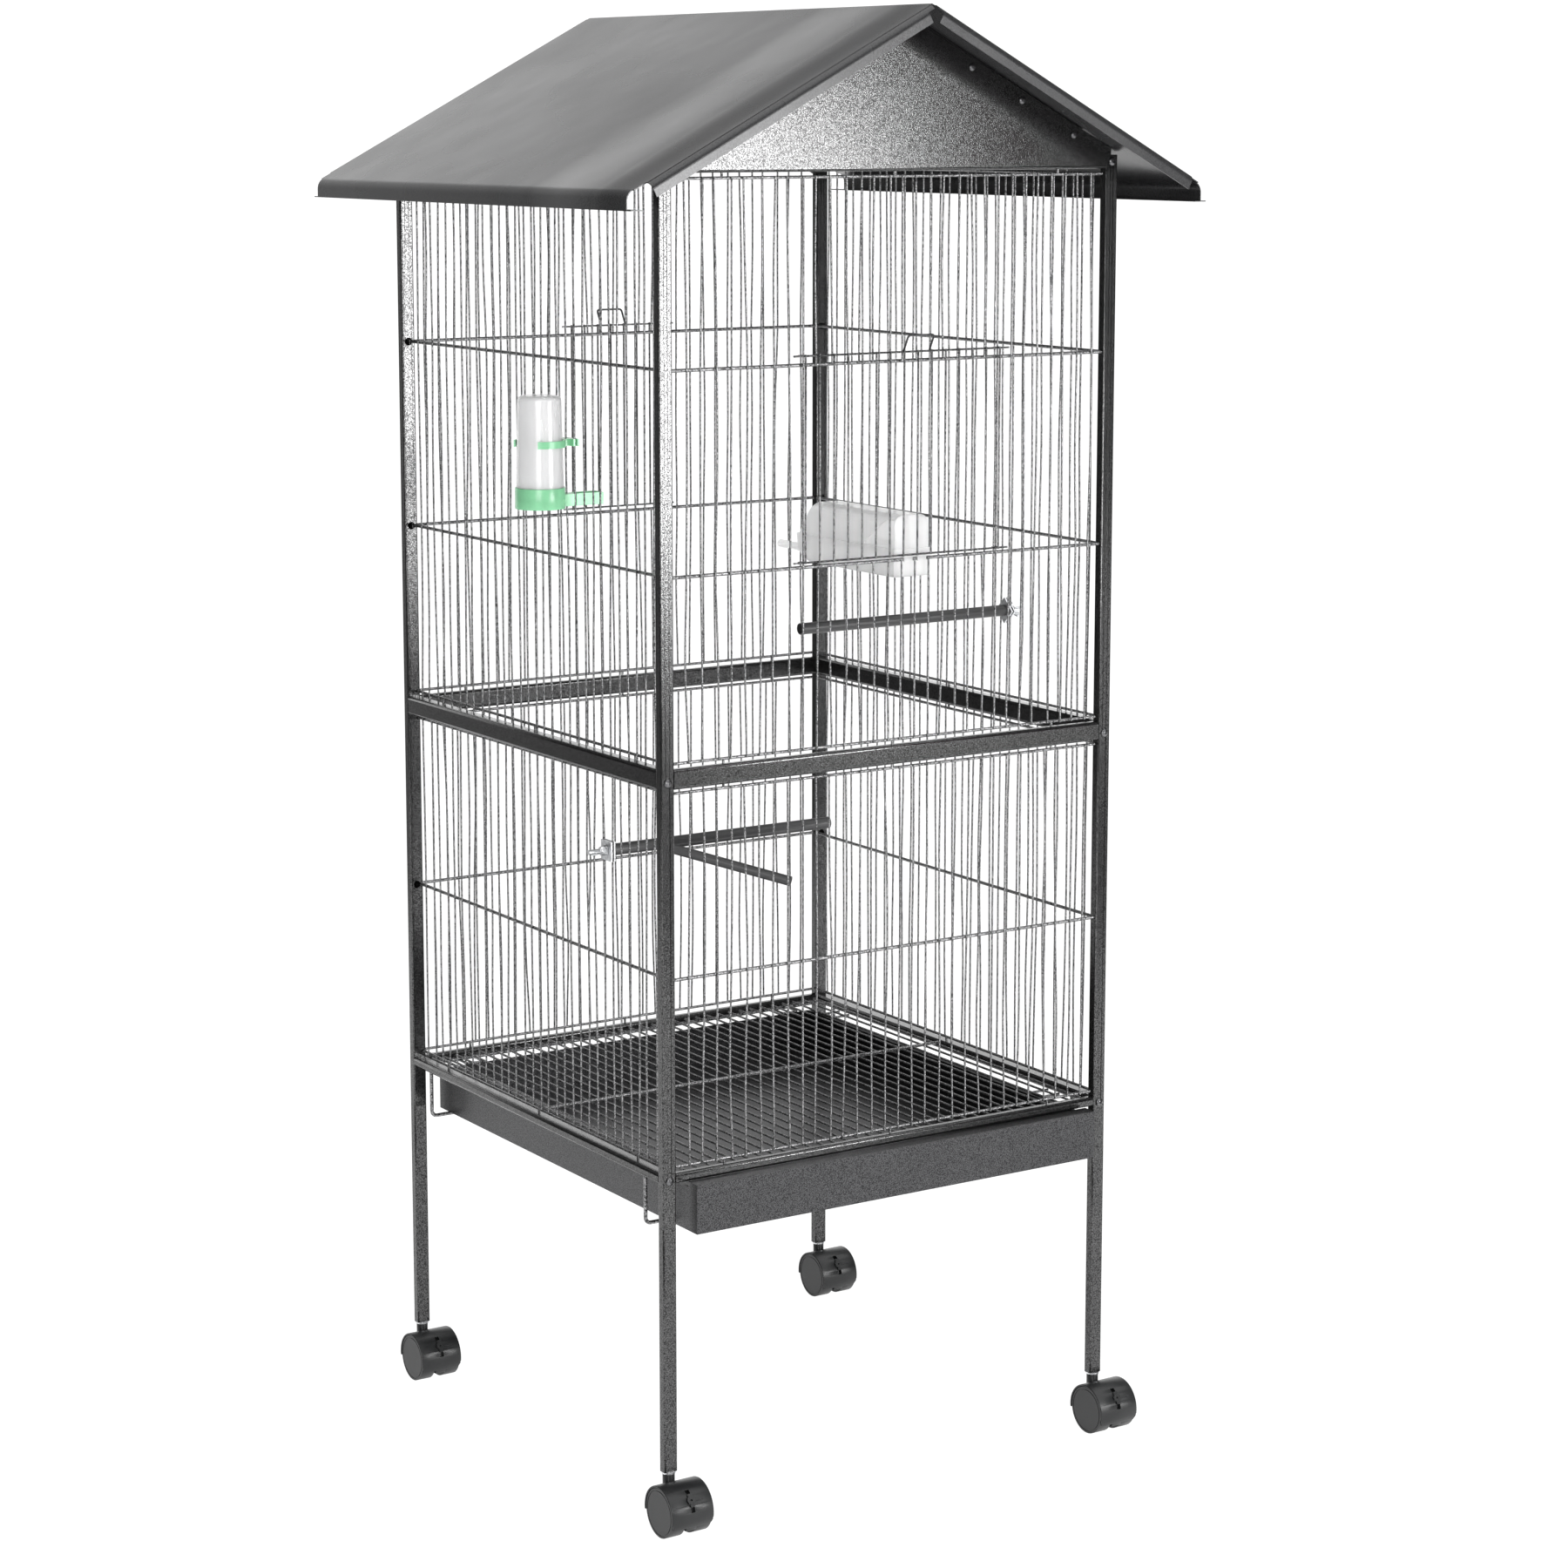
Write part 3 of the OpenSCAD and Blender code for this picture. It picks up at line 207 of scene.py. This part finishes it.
def satin_paint(name, tone, gloss, crown, swage):
    """Smoother powder coat of the roof sheets.

    The sheets look bowed along Y by a curvature of crown, with a soft fold swage metres high
    near the front verge.
    """
    material, tree, shader = new_material(name)
    point = place(tree)
    peel = noise(tree, point, size=1.6 * MM)
    swell = noise(tree, point, size=60 * MM, detail=1.0)
    cloud = noise(tree, point, size=120 * MM, detail=3.0)
    speck = ramp(tree, peel, low=0, high=1, from_low=0.35, from_high=0.7)
    along = add(tree, "SeparateXYZ", {"Vector": point}).outputs["Y"]
    squared = math_node(tree, "MULTIPLY", along, along)
    bowed = math_node(tree, "MULTIPLY", squared, -crown / 2)
    from_verge = math_node(tree, "SUBTRACT", along, CAD_BOX[0][1])
    rise = smooth_step(tree, from_verge, start=0.0, end=70 * MM)
    fall = smooth_step(tree, from_verge, start=80 * MM, end=200 * MM)
    fold = math_node(tree, "SUBTRACT", rise, fall)
    relief = bump(tree, bowed, depth=1.0)
    relief = bump(tree, fold, depth=swage, below=relief)
    relief = bump(tree, swell, depth=0.3 * MM, below=relief)
    relief = bump(tree, peel, depth=0.02 * MM, below=relief)
    feed(
        tree,
        shader,
        Base_Color=blend_colours(tree, speck, tone, shade(tone, 1.7)),
        Metallic=0.2,
        Roughness=ramp(tree, cloud, low=gloss - 0.05, high=gloss + 0.07),
        Normal=relief,
    )
    return material


def bare_metal(name, tone, scratch_along, gloss):
    """Bare or plated steel with fine scratches and a spangled tone."""
    material, tree, shader = new_material(name)
    point = place(tree)
    scratches = noise(tree, stretch(tree, point, scratch_along), size=0.5 * MM, detail=3.0)
    spangle = noise(tree, point, size=4 * MM)
    speck = ramp(tree, spangle, low=0, high=1, from_low=0.3, from_high=0.7)
    feed(
        tree,
        shader,
        Base_Color=blend_colours(tree, speck, shade(tone, 0.62), tone),
        Metallic=0.95,
        Roughness=ramp(tree, scratches, low=gloss - 0.08, high=gloss + 0.14),
        Normal=bump(tree, scratches, depth=0.04 * MM),
    )
    return material


def moulded_plastic(name, tone, gloss, shine=0.5, grain_size=0.9 * MM, grain_depth=0.03 * MM):
    """Opaque moulded plastic with a fine grain and a slight drift in tone."""
    material, tree, shader = new_material(name)
    point = place(tree)
    grain = noise(tree, point, size=grain_size)
    cloud = noise(tree, point, size=20 * MM, detail=3.0)
    drift = ramp(tree, cloud, low=0, high=1, from_low=0.3, from_high=0.7)
    feed(
        tree,
        shader,
        Base_Color=blend_colours(tree, drift, shade(tone, 0.86), shade(tone, 1.12)),
        Roughness=ramp(tree, cloud, low=gloss - 0.05, high=gloss + 0.06),
        Normal=bump(tree, grain, grain_depth),
        Specular_IOR_Level=shine,
    )
    return material


def cloudy_plastic(name, tone, clear, gloss):
    """Translucent milky plastic, thin-walled, with faint upright flow marks."""
    material, tree, shader = new_material(name)
    squeezed = stretch(tree, place(tree), (1.0, 1.0, 0.12))
    flow = noise(tree, squeezed, size=12 * MM)
    streaks = ramp(tree, flow, low=0, high=1, from_low=0.3, from_high=0.7)
    feed(
        tree,
        shader,
        Base_Color=blend_colours(tree, streaks, shade(tone, 0.93), tone),
        Roughness=ramp(tree, flow, low=gloss, high=gloss + 0.12),
        Transmission_Weight=clear,
        Coat_Weight=0.5,
        Coat_Roughness=0.06,
        IOR=1.2,
        Normal=bump(tree, flow, depth=0.05 * MM),
    )
    return material


def make_materials():
    """All materials of the cage, by the names that LOOKS uses."""
    return {
        "hammer": hammered_paint(
            "hammer_paint",
            cell=1.6 * MM,
            depth=0.023 * MM,
            dark=(0.0173, 0.0173, 0.0174),
            light=(0.126, 0.126, 0.1265),
            gloss=0.155,
            mottle=0.45,
        ),
        "wire": hammered_paint(
            "wire_paint",
            cell=1.8 * MM,
            depth=0.1 * MM,
            dark=(0.03, 0.03, 0.031),
            light=(0.42, 0.42, 0.425),
            gloss=0.32,
        ),
        "roof": satin_paint(
            "roof_paint", tone=(0.026, 0.026, 0.027), gloss=0.26, crown=0.03, swage=2.8 * MM
        ),
        "sheet": hammered_paint(
            "tray_paint",
            cell=1.3 * MM,
            depth=0.012 * MM,
            dark=(0.015, 0.015, 0.016),
            light=(0.105, 0.105, 0.108),
            gloss=0.28,
        ),
        "zinc": bare_metal(
            "zinc", tone=(0.75, 0.76, 0.78), scratch_along=(1.0, 1.0, 0.2), gloss=0.3
        ),
        "black": moulded_plastic(
            "caster_plastic", tone=(0.011, 0.0115, 0.012), gloss=0.36, shine=0.36
        ),
        "tread": moulded_plastic(
            "wheel_plastic", tone=(0.014, 0.0145, 0.015), gloss=0.42, shine=0.4
        ),
        "green": moulded_plastic("green_plastic", tone=(0.25, 0.62, 0.35), gloss=0.25),
        "bottle": cloudy_plastic(
            "bottle_plastic", tone=(0.96, 0.96, 0.965), clear=0.45, gloss=0.2
        ),
        "feeder": cloudy_plastic(
            "feeder_plastic", tone=(0.985, 0.985, 0.985), clear=0.8, gloss=0.4
        ),
        "rod": moulded_plastic(
            "perch_coating", tone=(0.04, 0.04, 0.041), gloss=0.42, grain_size=1.6 * MM
        ),
        "bolt": bare_metal(
            "dark_bolts", tone=(0.16, 0.16, 0.165), scratch_along=(1.0, 1.0, 1.0), gloss=0.28
        ),
    }


# ---------------------------------------------------------------- object and mesh helpers

SHARP_ANGLE = math.radians(50)  # a made piece's edges stay sharp above this
BEVEL_ANGLE = math.radians(40)  # a CAD node's edges are rounded above this
SAME_CORNER = 0.001 * MM  # a CAD node's vertices nearer than this are joined
STEEP = 0.9  # rise of a unit direction above which a tube counts as upright


def link_object(name, data):
    """A new object in the scene for a camera, light or mesh."""
    made = bpy.data.objects.new(name, data)
    bpy.context.scene.collection.objects.link(made)
    return made


def ring_points(centre, across, up, radius, sides):
    """The points of one ring of a tube, turning from across to up."""
    for k in range(sides):
        angle = 2 * math.pi * k / sides
        yield centre + across * (radius * math.cos(angle)) + up * (radius * math.sin(angle))


def add_tube(bm, path, radius, sides=8):
    """Adds a closed round tube along a list of points to a bmesh."""
    path = [Vector(p) for p in path]
    first = (path[1] - path[0]).normalized()
    helper = Vector((0, 0, 1)) if abs(first.z) < STEEP else Vector((0, 1, 0))
    across = first.cross(helper).normalized()
    rings = []
    for i, centre in enumerate(path):
        ahead = path[min(i + 1, len(path) - 1)] - path[max(i - 1, 0)]
        ahead.normalize()
        across = (across - ahead * across.dot(ahead)).normalized()
        up = ahead.cross(across)
        rings.append([bm.verts.new(p) for p in ring_points(centre, across, up, radius, sides)])
    for low, high in zip(rings, rings[1:]):
        for k in range(sides):
            bm.faces.new((low[k], low[(k + 1) % sides], high[(k + 1) % sides], high[k]))
    bm.faces.new(list(reversed(rings[0])))
    bm.faces.new(rings[-1])


def make_piece(name, bm, material, body, slot, *stands_for):
    """Turns a bmesh into a smooth piece that rides on a CAD body."""
    mesh = bpy.data.meshes.new(name)
    bmesh.ops.recalc_face_normals(bm, faces=bm.faces)
    bm.to_mesh(mesh)
    bm.free()
    mesh.shade_smooth()
    mesh.set_sharp_from_angle(angle=SHARP_ANGLE)
    mesh.materials.append(material)
    piece = link_object(name, mesh)
    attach(piece, body)
    if stands_for:
        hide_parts(*stands_for)


def dress(node, material, bevel):
    """Gives a CAD node its material, joined corners and, if asked, slightly rounded edges."""
    piece = NODES[node]
    piece.data.materials.clear()
    piece.data.materials.append(material)
    for polygon in piece.data.polygons:
        polygon.material_index = 0
    weld = piece.modifiers.new("weld", "WELD")
    weld.merge_threshold = SAME_CORNER
    if bevel:
        rounded = piece.modifiers.new("rounded_edges", "BEVEL")
        rounded.width = bevel
        rounded.segments = 2
        rounded.limit_method = "ANGLE"
        rounded.angle_limit = BEVEL_ANGLE
        rounded.use_clamp_overlap = True


# ---------------------------------------------------------------- casters

CORNERS = ("front_left", "front_right", "rear_left", "rear_right")
LIP_R = 1.0 * MM  # bead along the side edges of a caster hood
LIP_SPAN = (-9, 187)  # degrees, from below the front edge over the top to the rear edge
LIP_STEPS = 28


def hood_lips(corner, material):
    """A moulded bead along both side edges of one caster hood."""
    wheels_low, wheels_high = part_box(f"wheels_{corner}")
    hood_low, hood_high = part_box(f"caster_{corner}")
    axle_y = (wheels_low[1] + wheels_high[1]) / 2
    axle_z = (wheels_low[2] + wheels_high[2]) / 2
    radius = axle_y - hood_low[1] - LIP_R
    step = (LIP_SPAN[1] - LIP_SPAN[0]) / LIP_STEPS
    angles = [math.radians(LIP_SPAN[0] + step * k) for k in range(LIP_STEPS + 1)]
    bm = bmesh.new()
    for side_x in (hood_low[0], hood_high[0]):
        path = [
            (side_x, axle_y - radius * math.cos(a), axle_z + radius * math.sin(a)) for a in angles
        ]
        add_tube(bm, path, LIP_R)
    make_piece(f"hood_lips_{corner}", bm, material, f"swivel_{corner}", "black_plastic")


# ---------------------------------------------------------------- camera, light, floor

SENSOR_WIDTH = 36  # mm
LENS = 82.77  # mm
LENS_SHIFT = -0.07  # down, as a part of the sensor width
CAMERA_AT = (-2.0203, -3.2049, 1.3939)  # metres
TURN_RIGHT = 32.783  # degrees away from +Y
LOOK_DOWN = 8.881  # degrees
CLIP = (0.1, 60)  # metres

BACK = (0.32, 0.95, 0.0)  # level direction of the bright band's middle, behind the cage
BACK_WIDTH = (0.62, 0.9)  # cosines of the angle to BACK between which the band fades in
BAND_TOP = (0.34, 0.6)  # heights on the unit sphere between which the band fades out
OVERHEAD_FROM = 0.45  # height on the unit sphere where the glow from above sets in
BAND_GLOW, OVERHEAD_GLOW, DIM_GLOW = 1.5, 0.5, 0.05
SEEN_GLOW = 1.1  # what the camera sees of the world

SOFTBOXES = {  # place, point aimed at, width, height, watts
    "key": ((1.09, -2.8, 1.02), (0.74, -0.2, 1.02), 1.1, 0.9, 62),
    "fill": ((-2.6, -3.4, 1.7), (0, 0, 0.9), 1.7, 2.2, 85),
    "low_front": ((1.86, -2.8, 0.36), (1.86, -0.2, 0.36), 1.08, 0.42, 3.4),
}
SUN_STRENGTH = 2.0  # watts per square metre
SUN_SPREAD = 75  # degrees
SUN_LEAN = (12, 6)  # degrees about X and Y

FLOOR_R = 2.6  # metres
FLOOR_SIDES = 96
FLOOR_TONES = ((0.5, 0.5, 0.5), (0.54, 0.54, 0.54))  # as a bounce light
FLOOR_SEEN_TONE = (0.05, 0.05, 0.05)  # to the camera, which sees its glow instead
FLOOR_GLOW, FLOOR_SEEN_GLOW = 0.85, 1.03


def make_camera():
    """A level-rolled camera at the viewing angle of the photograph, for a square image."""
    camera = bpy.data.cameras.new("camera")
    camera.sensor_width = SENSOR_WIDTH
    camera.lens = LENS
    camera.shift_y = LENS_SHIFT
    camera.clip_start, camera.clip_end = CLIP
    holder = link_object("camera", camera)
    holder.location = CAMERA_AT
    tilt = math.pi / 2 - math.radians(LOOK_DOWN)
    holder.rotation_euler = (tilt, 0, -math.radians(TURN_RIGHT))
    bpy.context.scene.camera = holder


def make_world():
    """A dim surround with a bright band low behind the object and a glow from above.

    The camera sees an even white instead, directly and through clear plastic.
    """
    world = bpy.data.worlds.new("studio")
    bpy.context.scene.world = world
    world.use_nodes = True
    tree = world.node_tree
    tree.nodes.clear()
    direction = add(tree, "TexCoord").outputs["Generated"]
    height = add(tree, "SeparateXYZ", {"Vector": direction}).outputs["Z"]
    back = tuple(Vector(BACK).normalized())
    facing = add(tree, "VectorMath", {0: direction, 1: back}, operation="DOT_PRODUCT")
    behind = math_node(
        tree,
        "MULTIPLY",
        ramp(tree, facing.outputs["Value"], 0.0, 1.0, *BACK_WIDTH),
        ramp(tree, height, 1.0, 0.0, *BAND_TOP),
    )
    overhead = ramp(tree, height, 0.0, 1.0, OVERHEAD_FROM, 1.0)
    band = math_node(tree, "MULTIPLY", behind, BAND_GLOW)
    glow = math_node(tree, "ADD", band, math_node(tree, "MULTIPLY", overhead, OVERHEAD_GLOW))
    glow = math_node(tree, "ADD", glow, DIM_GLOW)
    path = add(tree, "LightPath").outputs
    seen = math_node(tree, "MAXIMUM", path["Is Camera Ray"], path["Is Transmission Ray"])
    inputs = {"Factor": seen, MIX_FLOAT_A: glow, MIX_FLOAT_B: SEEN_GLOW}
    strength = add(tree, "Mix", inputs, data_type="FLOAT").outputs[MIX_FLOAT_OUT]
    background = add(tree, "Background", {"Color": (1, 1, 1), "Strength": strength})
    output = tree.nodes.new("ShaderNodeOutputWorld")
    tree.links.new(background.outputs["Background"], output.inputs["Surface"])


def add_softbox(name, place_at, aim_at, width, height, watts):
    """A rectangular light that the camera doesn't see."""
    light = bpy.data.lights.new(name, "AREA")
    light.shape = "RECTANGLE"
    light.size = width
    light.size_y = height
    light.energy = watts
    holder = link_object(name, light)
    holder.location = place_at
    aim = Vector(aim_at) - Vector(place_at)
    holder.rotation_euler = aim.to_track_quat("-Z", "Y").to_euler()
    holder.visible_camera = False


def make_lights():
    """Softboxes in front and on the left, mirrored by the steel, and a soft sun from above."""
    for name, (place_at, aim_at, width, height, watts) in SOFTBOXES.items():
        add_softbox(name, place_at, aim_at, width, height, watts)
    sun = bpy.data.lights.new("soft_sun", "SUN")
    sun.energy = SUN_STRENGTH
    sun.angle = math.radians(SUN_SPREAD)
    holder = link_object("soft_sun", sun)
    holder.rotation_euler = (math.radians(SUN_LEAN[0]), math.radians(SUN_LEAN[1]), 0)


def make_floor():
    """A large round pale floor: even white to the camera, softer as a bounce light."""
    bm = bmesh.new()
    bmesh.ops.create_circle(bm, cap_ends=True, radius=FLOOR_R, segments=FLOOR_SIDES)
    mesh = bpy.data.meshes.new("floor")
    bm.to_mesh(mesh)
    bm.free()
    material, tree, shader = new_material("floor_paint")
    cloud = noise(tree, place(tree), size=1.5)
    seen = add(tree, "LightPath").outputs["Is Camera Ray"]
    bounce = blend_colours(tree, cloud, *FLOOR_TONES)
    feed(
        tree,
        shader,
        Base_Color=blend_colours(tree, seen, bounce, FLOOR_SEEN_TONE),
        Roughness=0.9,
        Specular_IOR_Level=0.2,
        Emission_Color=(1.0, 1.0, 1.0),
        Emission_Strength=ramp(tree, seen, FLOOR_GLOW, FLOOR_SEEN_GLOW),
    )
    mesh.materials.append(material)
    floor = link_object("floor", mesh)


# ---------------------------------------------------------------- bent wires of the walls

WIRE_COUNT = 30  # upright wires in one wall
WIRE_R = 1.0 * MM
STUD_R = 1.3 * MM
STUD_PLACES = (3.5, 15.5, 27.5)  # studs of the edge wires, in wire numbers
ROD_MAX_R = 1.8 * MM  # cross rods run from post to post
EDGE_MAX_R = 1.6 * MM  # edge wires end a little before the posts
EDGE_GAP = 2.0 * MM
ROD_SIDES = 12
CALM_WIRES = {  # wires that a door, a clip or a perch plate holds straight, by wall
    "front": {9: 0.0, 23: 0.0, 16: 0.4, 17: 0.4, 18: 0.4},
    "rear": {12: 0.0, 19: 0.0},
    "left": {},
    "right": {},
}
WELD_DRIFT = 1.4 * MM  # usual and greatest sideways drift of a weld
WELD_DRIFT_MAX = 2.4 * MM
BOW = 1.0 * MM  # usual and greatest bend in the middle of a usual span
BOW_MAX = 3.8 * MM
USUAL_SPAN = 180 * MM
PATH_STEPS = 4  # points of a wire between two knots

SAME_END = 0.05 * MM  # how near to a wire's end its CAD vertices lie
SAME_RING = 4 * MM  # vertices of one rod's end differ less than this in height
END_WELD = 4 * MM  # a rod this near to an upright's end isn't a weld of its own
NEAR_WIRE = 1.05 * MM  # how near to an upright's axis its CAD vertices lie
NEAR_STUD = 1.5 * MM  # the same for a stud
STUD_REACH = 10 * MM  # a stud's vertices lie this near to its edge wire in height


def within(value, limit):
    """The value, held between -limit and limit."""
    return max(-limit, min(limit, value))


def calmness(wall, number):
    """1 for a free wire, 0 for one that is held straight."""
    return CALM_WIRES[wall].get(number, 1.0)


def weld_shift(wall, number, z):
    """How far wire number of a wall sits off its place at a weld at height z."""
    dice = random.Random(f"{wall} {number} {round(z * 1000)}")
    return calmness(wall, number) * within(dice.gauss(0, WELD_DRIFT), WELD_DRIFT_MAX)


def bow_of(wall, number, z, span):
    """How far the middle of a wire's span above height z bends sideways."""
    dice = random.Random(f"bow {wall} {number} {round(z * 1000)}")
    widest = BOW_MAX * min(1.0, span / USUAL_SPAN)
    return calmness(wall, number) * within(dice.gauss(0, BOW * span / USUAL_SPAN), widest)


def smooth_path(knots, steps):
    """Points on a Catmull-Rom curve through (z, shift) knots."""
    points = []
    for k in range(len(knots) - 1):
        before = knots[max(k - 1, 0)][1]
        here, after = knots[k][1], knots[k + 1][1]
        beyond = knots[min(k + 2, len(knots) - 1)][1]
        for step in range(steps):
            t = step / steps
            value = 0.5 * (
                2 * here
                + (after - before) * t
                + (2 * before - 5 * here + 4 * after - beyond) * t * t
                + (3 * here - before - 3 * after + beyond) * t * t * t
            )
            z = knots[k][0] + (knots[k + 1][0] - knots[k][0]) * t
            points.append((z, value))
    points.append(knots[-1])
    return points


def bent_wire(wall, number, marks):
    """(z, shift) knots of one upright: its ends and welds, and the middles between them."""
    knots = [(marks[0], weld_shift(wall, number, marks[0]))]
    for below, above in zip(marks, marks[1:]):
        bend = bow_of(wall, number, below, above - below)
        shift_below = weld_shift(wall, number, below)
        shift_above = weld_shift(wall, number, above)
        knots.append(((below + above) / 2, (shift_below + shift_above) / 2 + bend))
        knots.append((above, shift_above))
    return knots


def wire_wall(node, material):
    """Stands for one CAD wall node: rods and edge wires straight, uprights a little bent."""
    wall = node.split("_")[1]
    axis = 0 if wall in ("front", "rear") else 1
    near_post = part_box("post_front_left")
    far_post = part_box("post_front_right") if axis == 0 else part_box("post_rear_left")
    start, end = near_post[1][axis], far_post[0][axis]
    pitch = (end - start) / (WIRE_COUNT + 1)
    low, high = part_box(node)
    if wall in ("front", "left"):
        plane = low[1 - axis] + WIRE_R
    else:
        plane = high[1 - axis] - WIRE_R
    spots = [v.co for v in NODES[node].data.vertices]

    def put(along, across, z):
        return (along, across, z) if axis == 0 else (across, along, z)

    bm = bmesh.new()
    # rods and edge wires, found by the CAD vertices at one of their ends
    welds, edges = [], []
    for gap, max_r in ((0.0, ROD_MAX_R), (EDGE_GAP, EDGE_MAX_R)):
        ends = [v for v in spots if abs(v[axis] - (start + gap)) < SAME_END]
        while ends:
            first = ends[0]
            ring = [v for v in ends if abs(v.z - first.z) < SAME_RING]
            ends = [v for v in ends if abs(v.z - first.z) >= SAME_RING]
            bottom, top = min(v.z for v in ring), max(v.z for v in ring)
            z = (bottom + top) / 2
            across = (min(v[1 - axis] for v in ring) + max(v[1 - axis] for v in ring)) / 2
            radius = min(max_r, (top - bottom) / 2)
            path = [put(start + gap, across, z), put(end - gap, across, z)]
            add_tube(bm, path, radius, ROD_SIDES)
            welds.append(z)
            if gap:
                edges.append((z, across))
    welds.sort()

    # uprights, of which the nodes of a wall with a door have only some each
    for number in range(1, WIRE_COUNT + 1):
        along = start + number * pitch
        mine = [
            v.z
            for v in spots
            if abs(v[axis] - along) < NEAR_WIRE and abs(v[1 - axis] - plane) < NEAR_WIRE
        ]
        if not mine:
            continue
        bottom, top = min(mine), max(mine)
        inner = [z for z in welds if bottom + END_WELD < z < top - END_WELD]
        knots = bent_wire(wall, number, [bottom, *inner, top])
        path = [put(along + shift, plane, z) for z, shift in smooth_path(knots, PATH_STEPS)]
        add_tube(bm, path, WIRE_R)

    # studs from the edge wires to the rails
    for number in STUD_PLACES:
        along = start + number * pitch
        for z, across in edges:
            mine = [
                v.z
                for v in spots
                if abs(v[axis] - along) < NEAR_STUD and abs(v.z - z) < STUD_REACH
            ]
            if mine:
                ends = [put(along, across, min(mine)), put(along, across, max(mine))]
                add_tube(bm, ends, STUD_R)
    make_piece(f"bent_{node}", bm, material, "cage", "wire_coat", node)


# ---------------------------------------------------------------- which node wears what

LOOKS = {  # starts of node names, by material; the longest fitting start counts
    "hammer": ("post_", "leg_f", "leg_r", "rails_", "gable_f", "gable_r"),
    "rod": ("perch_upper", "perch_lower"),
    "wire": ("wires_", "grate", "door_", "tray_hangers", "grate_rests"),
    "roof": ("roof_",),
    "sheet": ("tray", "handle_"),
    "zinc": ("perch_plates", "perch_studs", "wing_nut", "leg_collars"),
    "bolt": ("gable_screws", "frame_bolts"),
    "black": ("caster_", "brake_"),
    "tread": ("wheels_",),
    "green": ("drinker_base", "bottle_strap"),
    "bottle": ("bottle",),
    "feeder": ("feeder_",),
}
SOFT_EDGES = {  # rounding of the edges, by starts of node names in the same way
    "wheels_": 2.0 * MM,
    "caster_": 0.5 * MM,
    "post_": 0.7 * MM,
    "leg_f": 0.7 * MM,
    "leg_r": 0.7 * MM,
    "rails_": 0.6 * MM,
    "tray": 0.9 * MM,
    "tray_hangers": 0.0,
    "drinker_base": 0.6 * MM,
}


def fitting(table, node, otherwise):
    """What a table says for the longest of its keys that the node's name starts with."""
    starts = [start for start in table if node.startswith(start)]
    return table[max(starts, key=len)] if starts else otherwise


def main():
    """Builds the stage, the wall and caster pieces, and the looks of all CAD nodes."""
    bpy.context.scene.view_settings.view_transform = "Standard"
    make_camera()
    make_world()
    make_lights()
    make_floor()
    materials = make_materials()
    for node in sorted(NODES):
        if node.startswith("wires_"):
            wire_wall(node, materials["wire"])
    worn = {start: look for look, starts in LOOKS.items() for start in starts}
    missing = [node for node in sorted(NODES) if not fitting(worn, node, None)]
    if missing:
        raise ValueError(f"nodes without a material: {missing}")
    for node in sorted(NODES):
        dress(node, materials[fitting(worn, node, None)], fitting(SOFT_EDGES, node, 0.0))
    for corner in CORNERS:
        hood_lips(corner, materials["black"])


main()
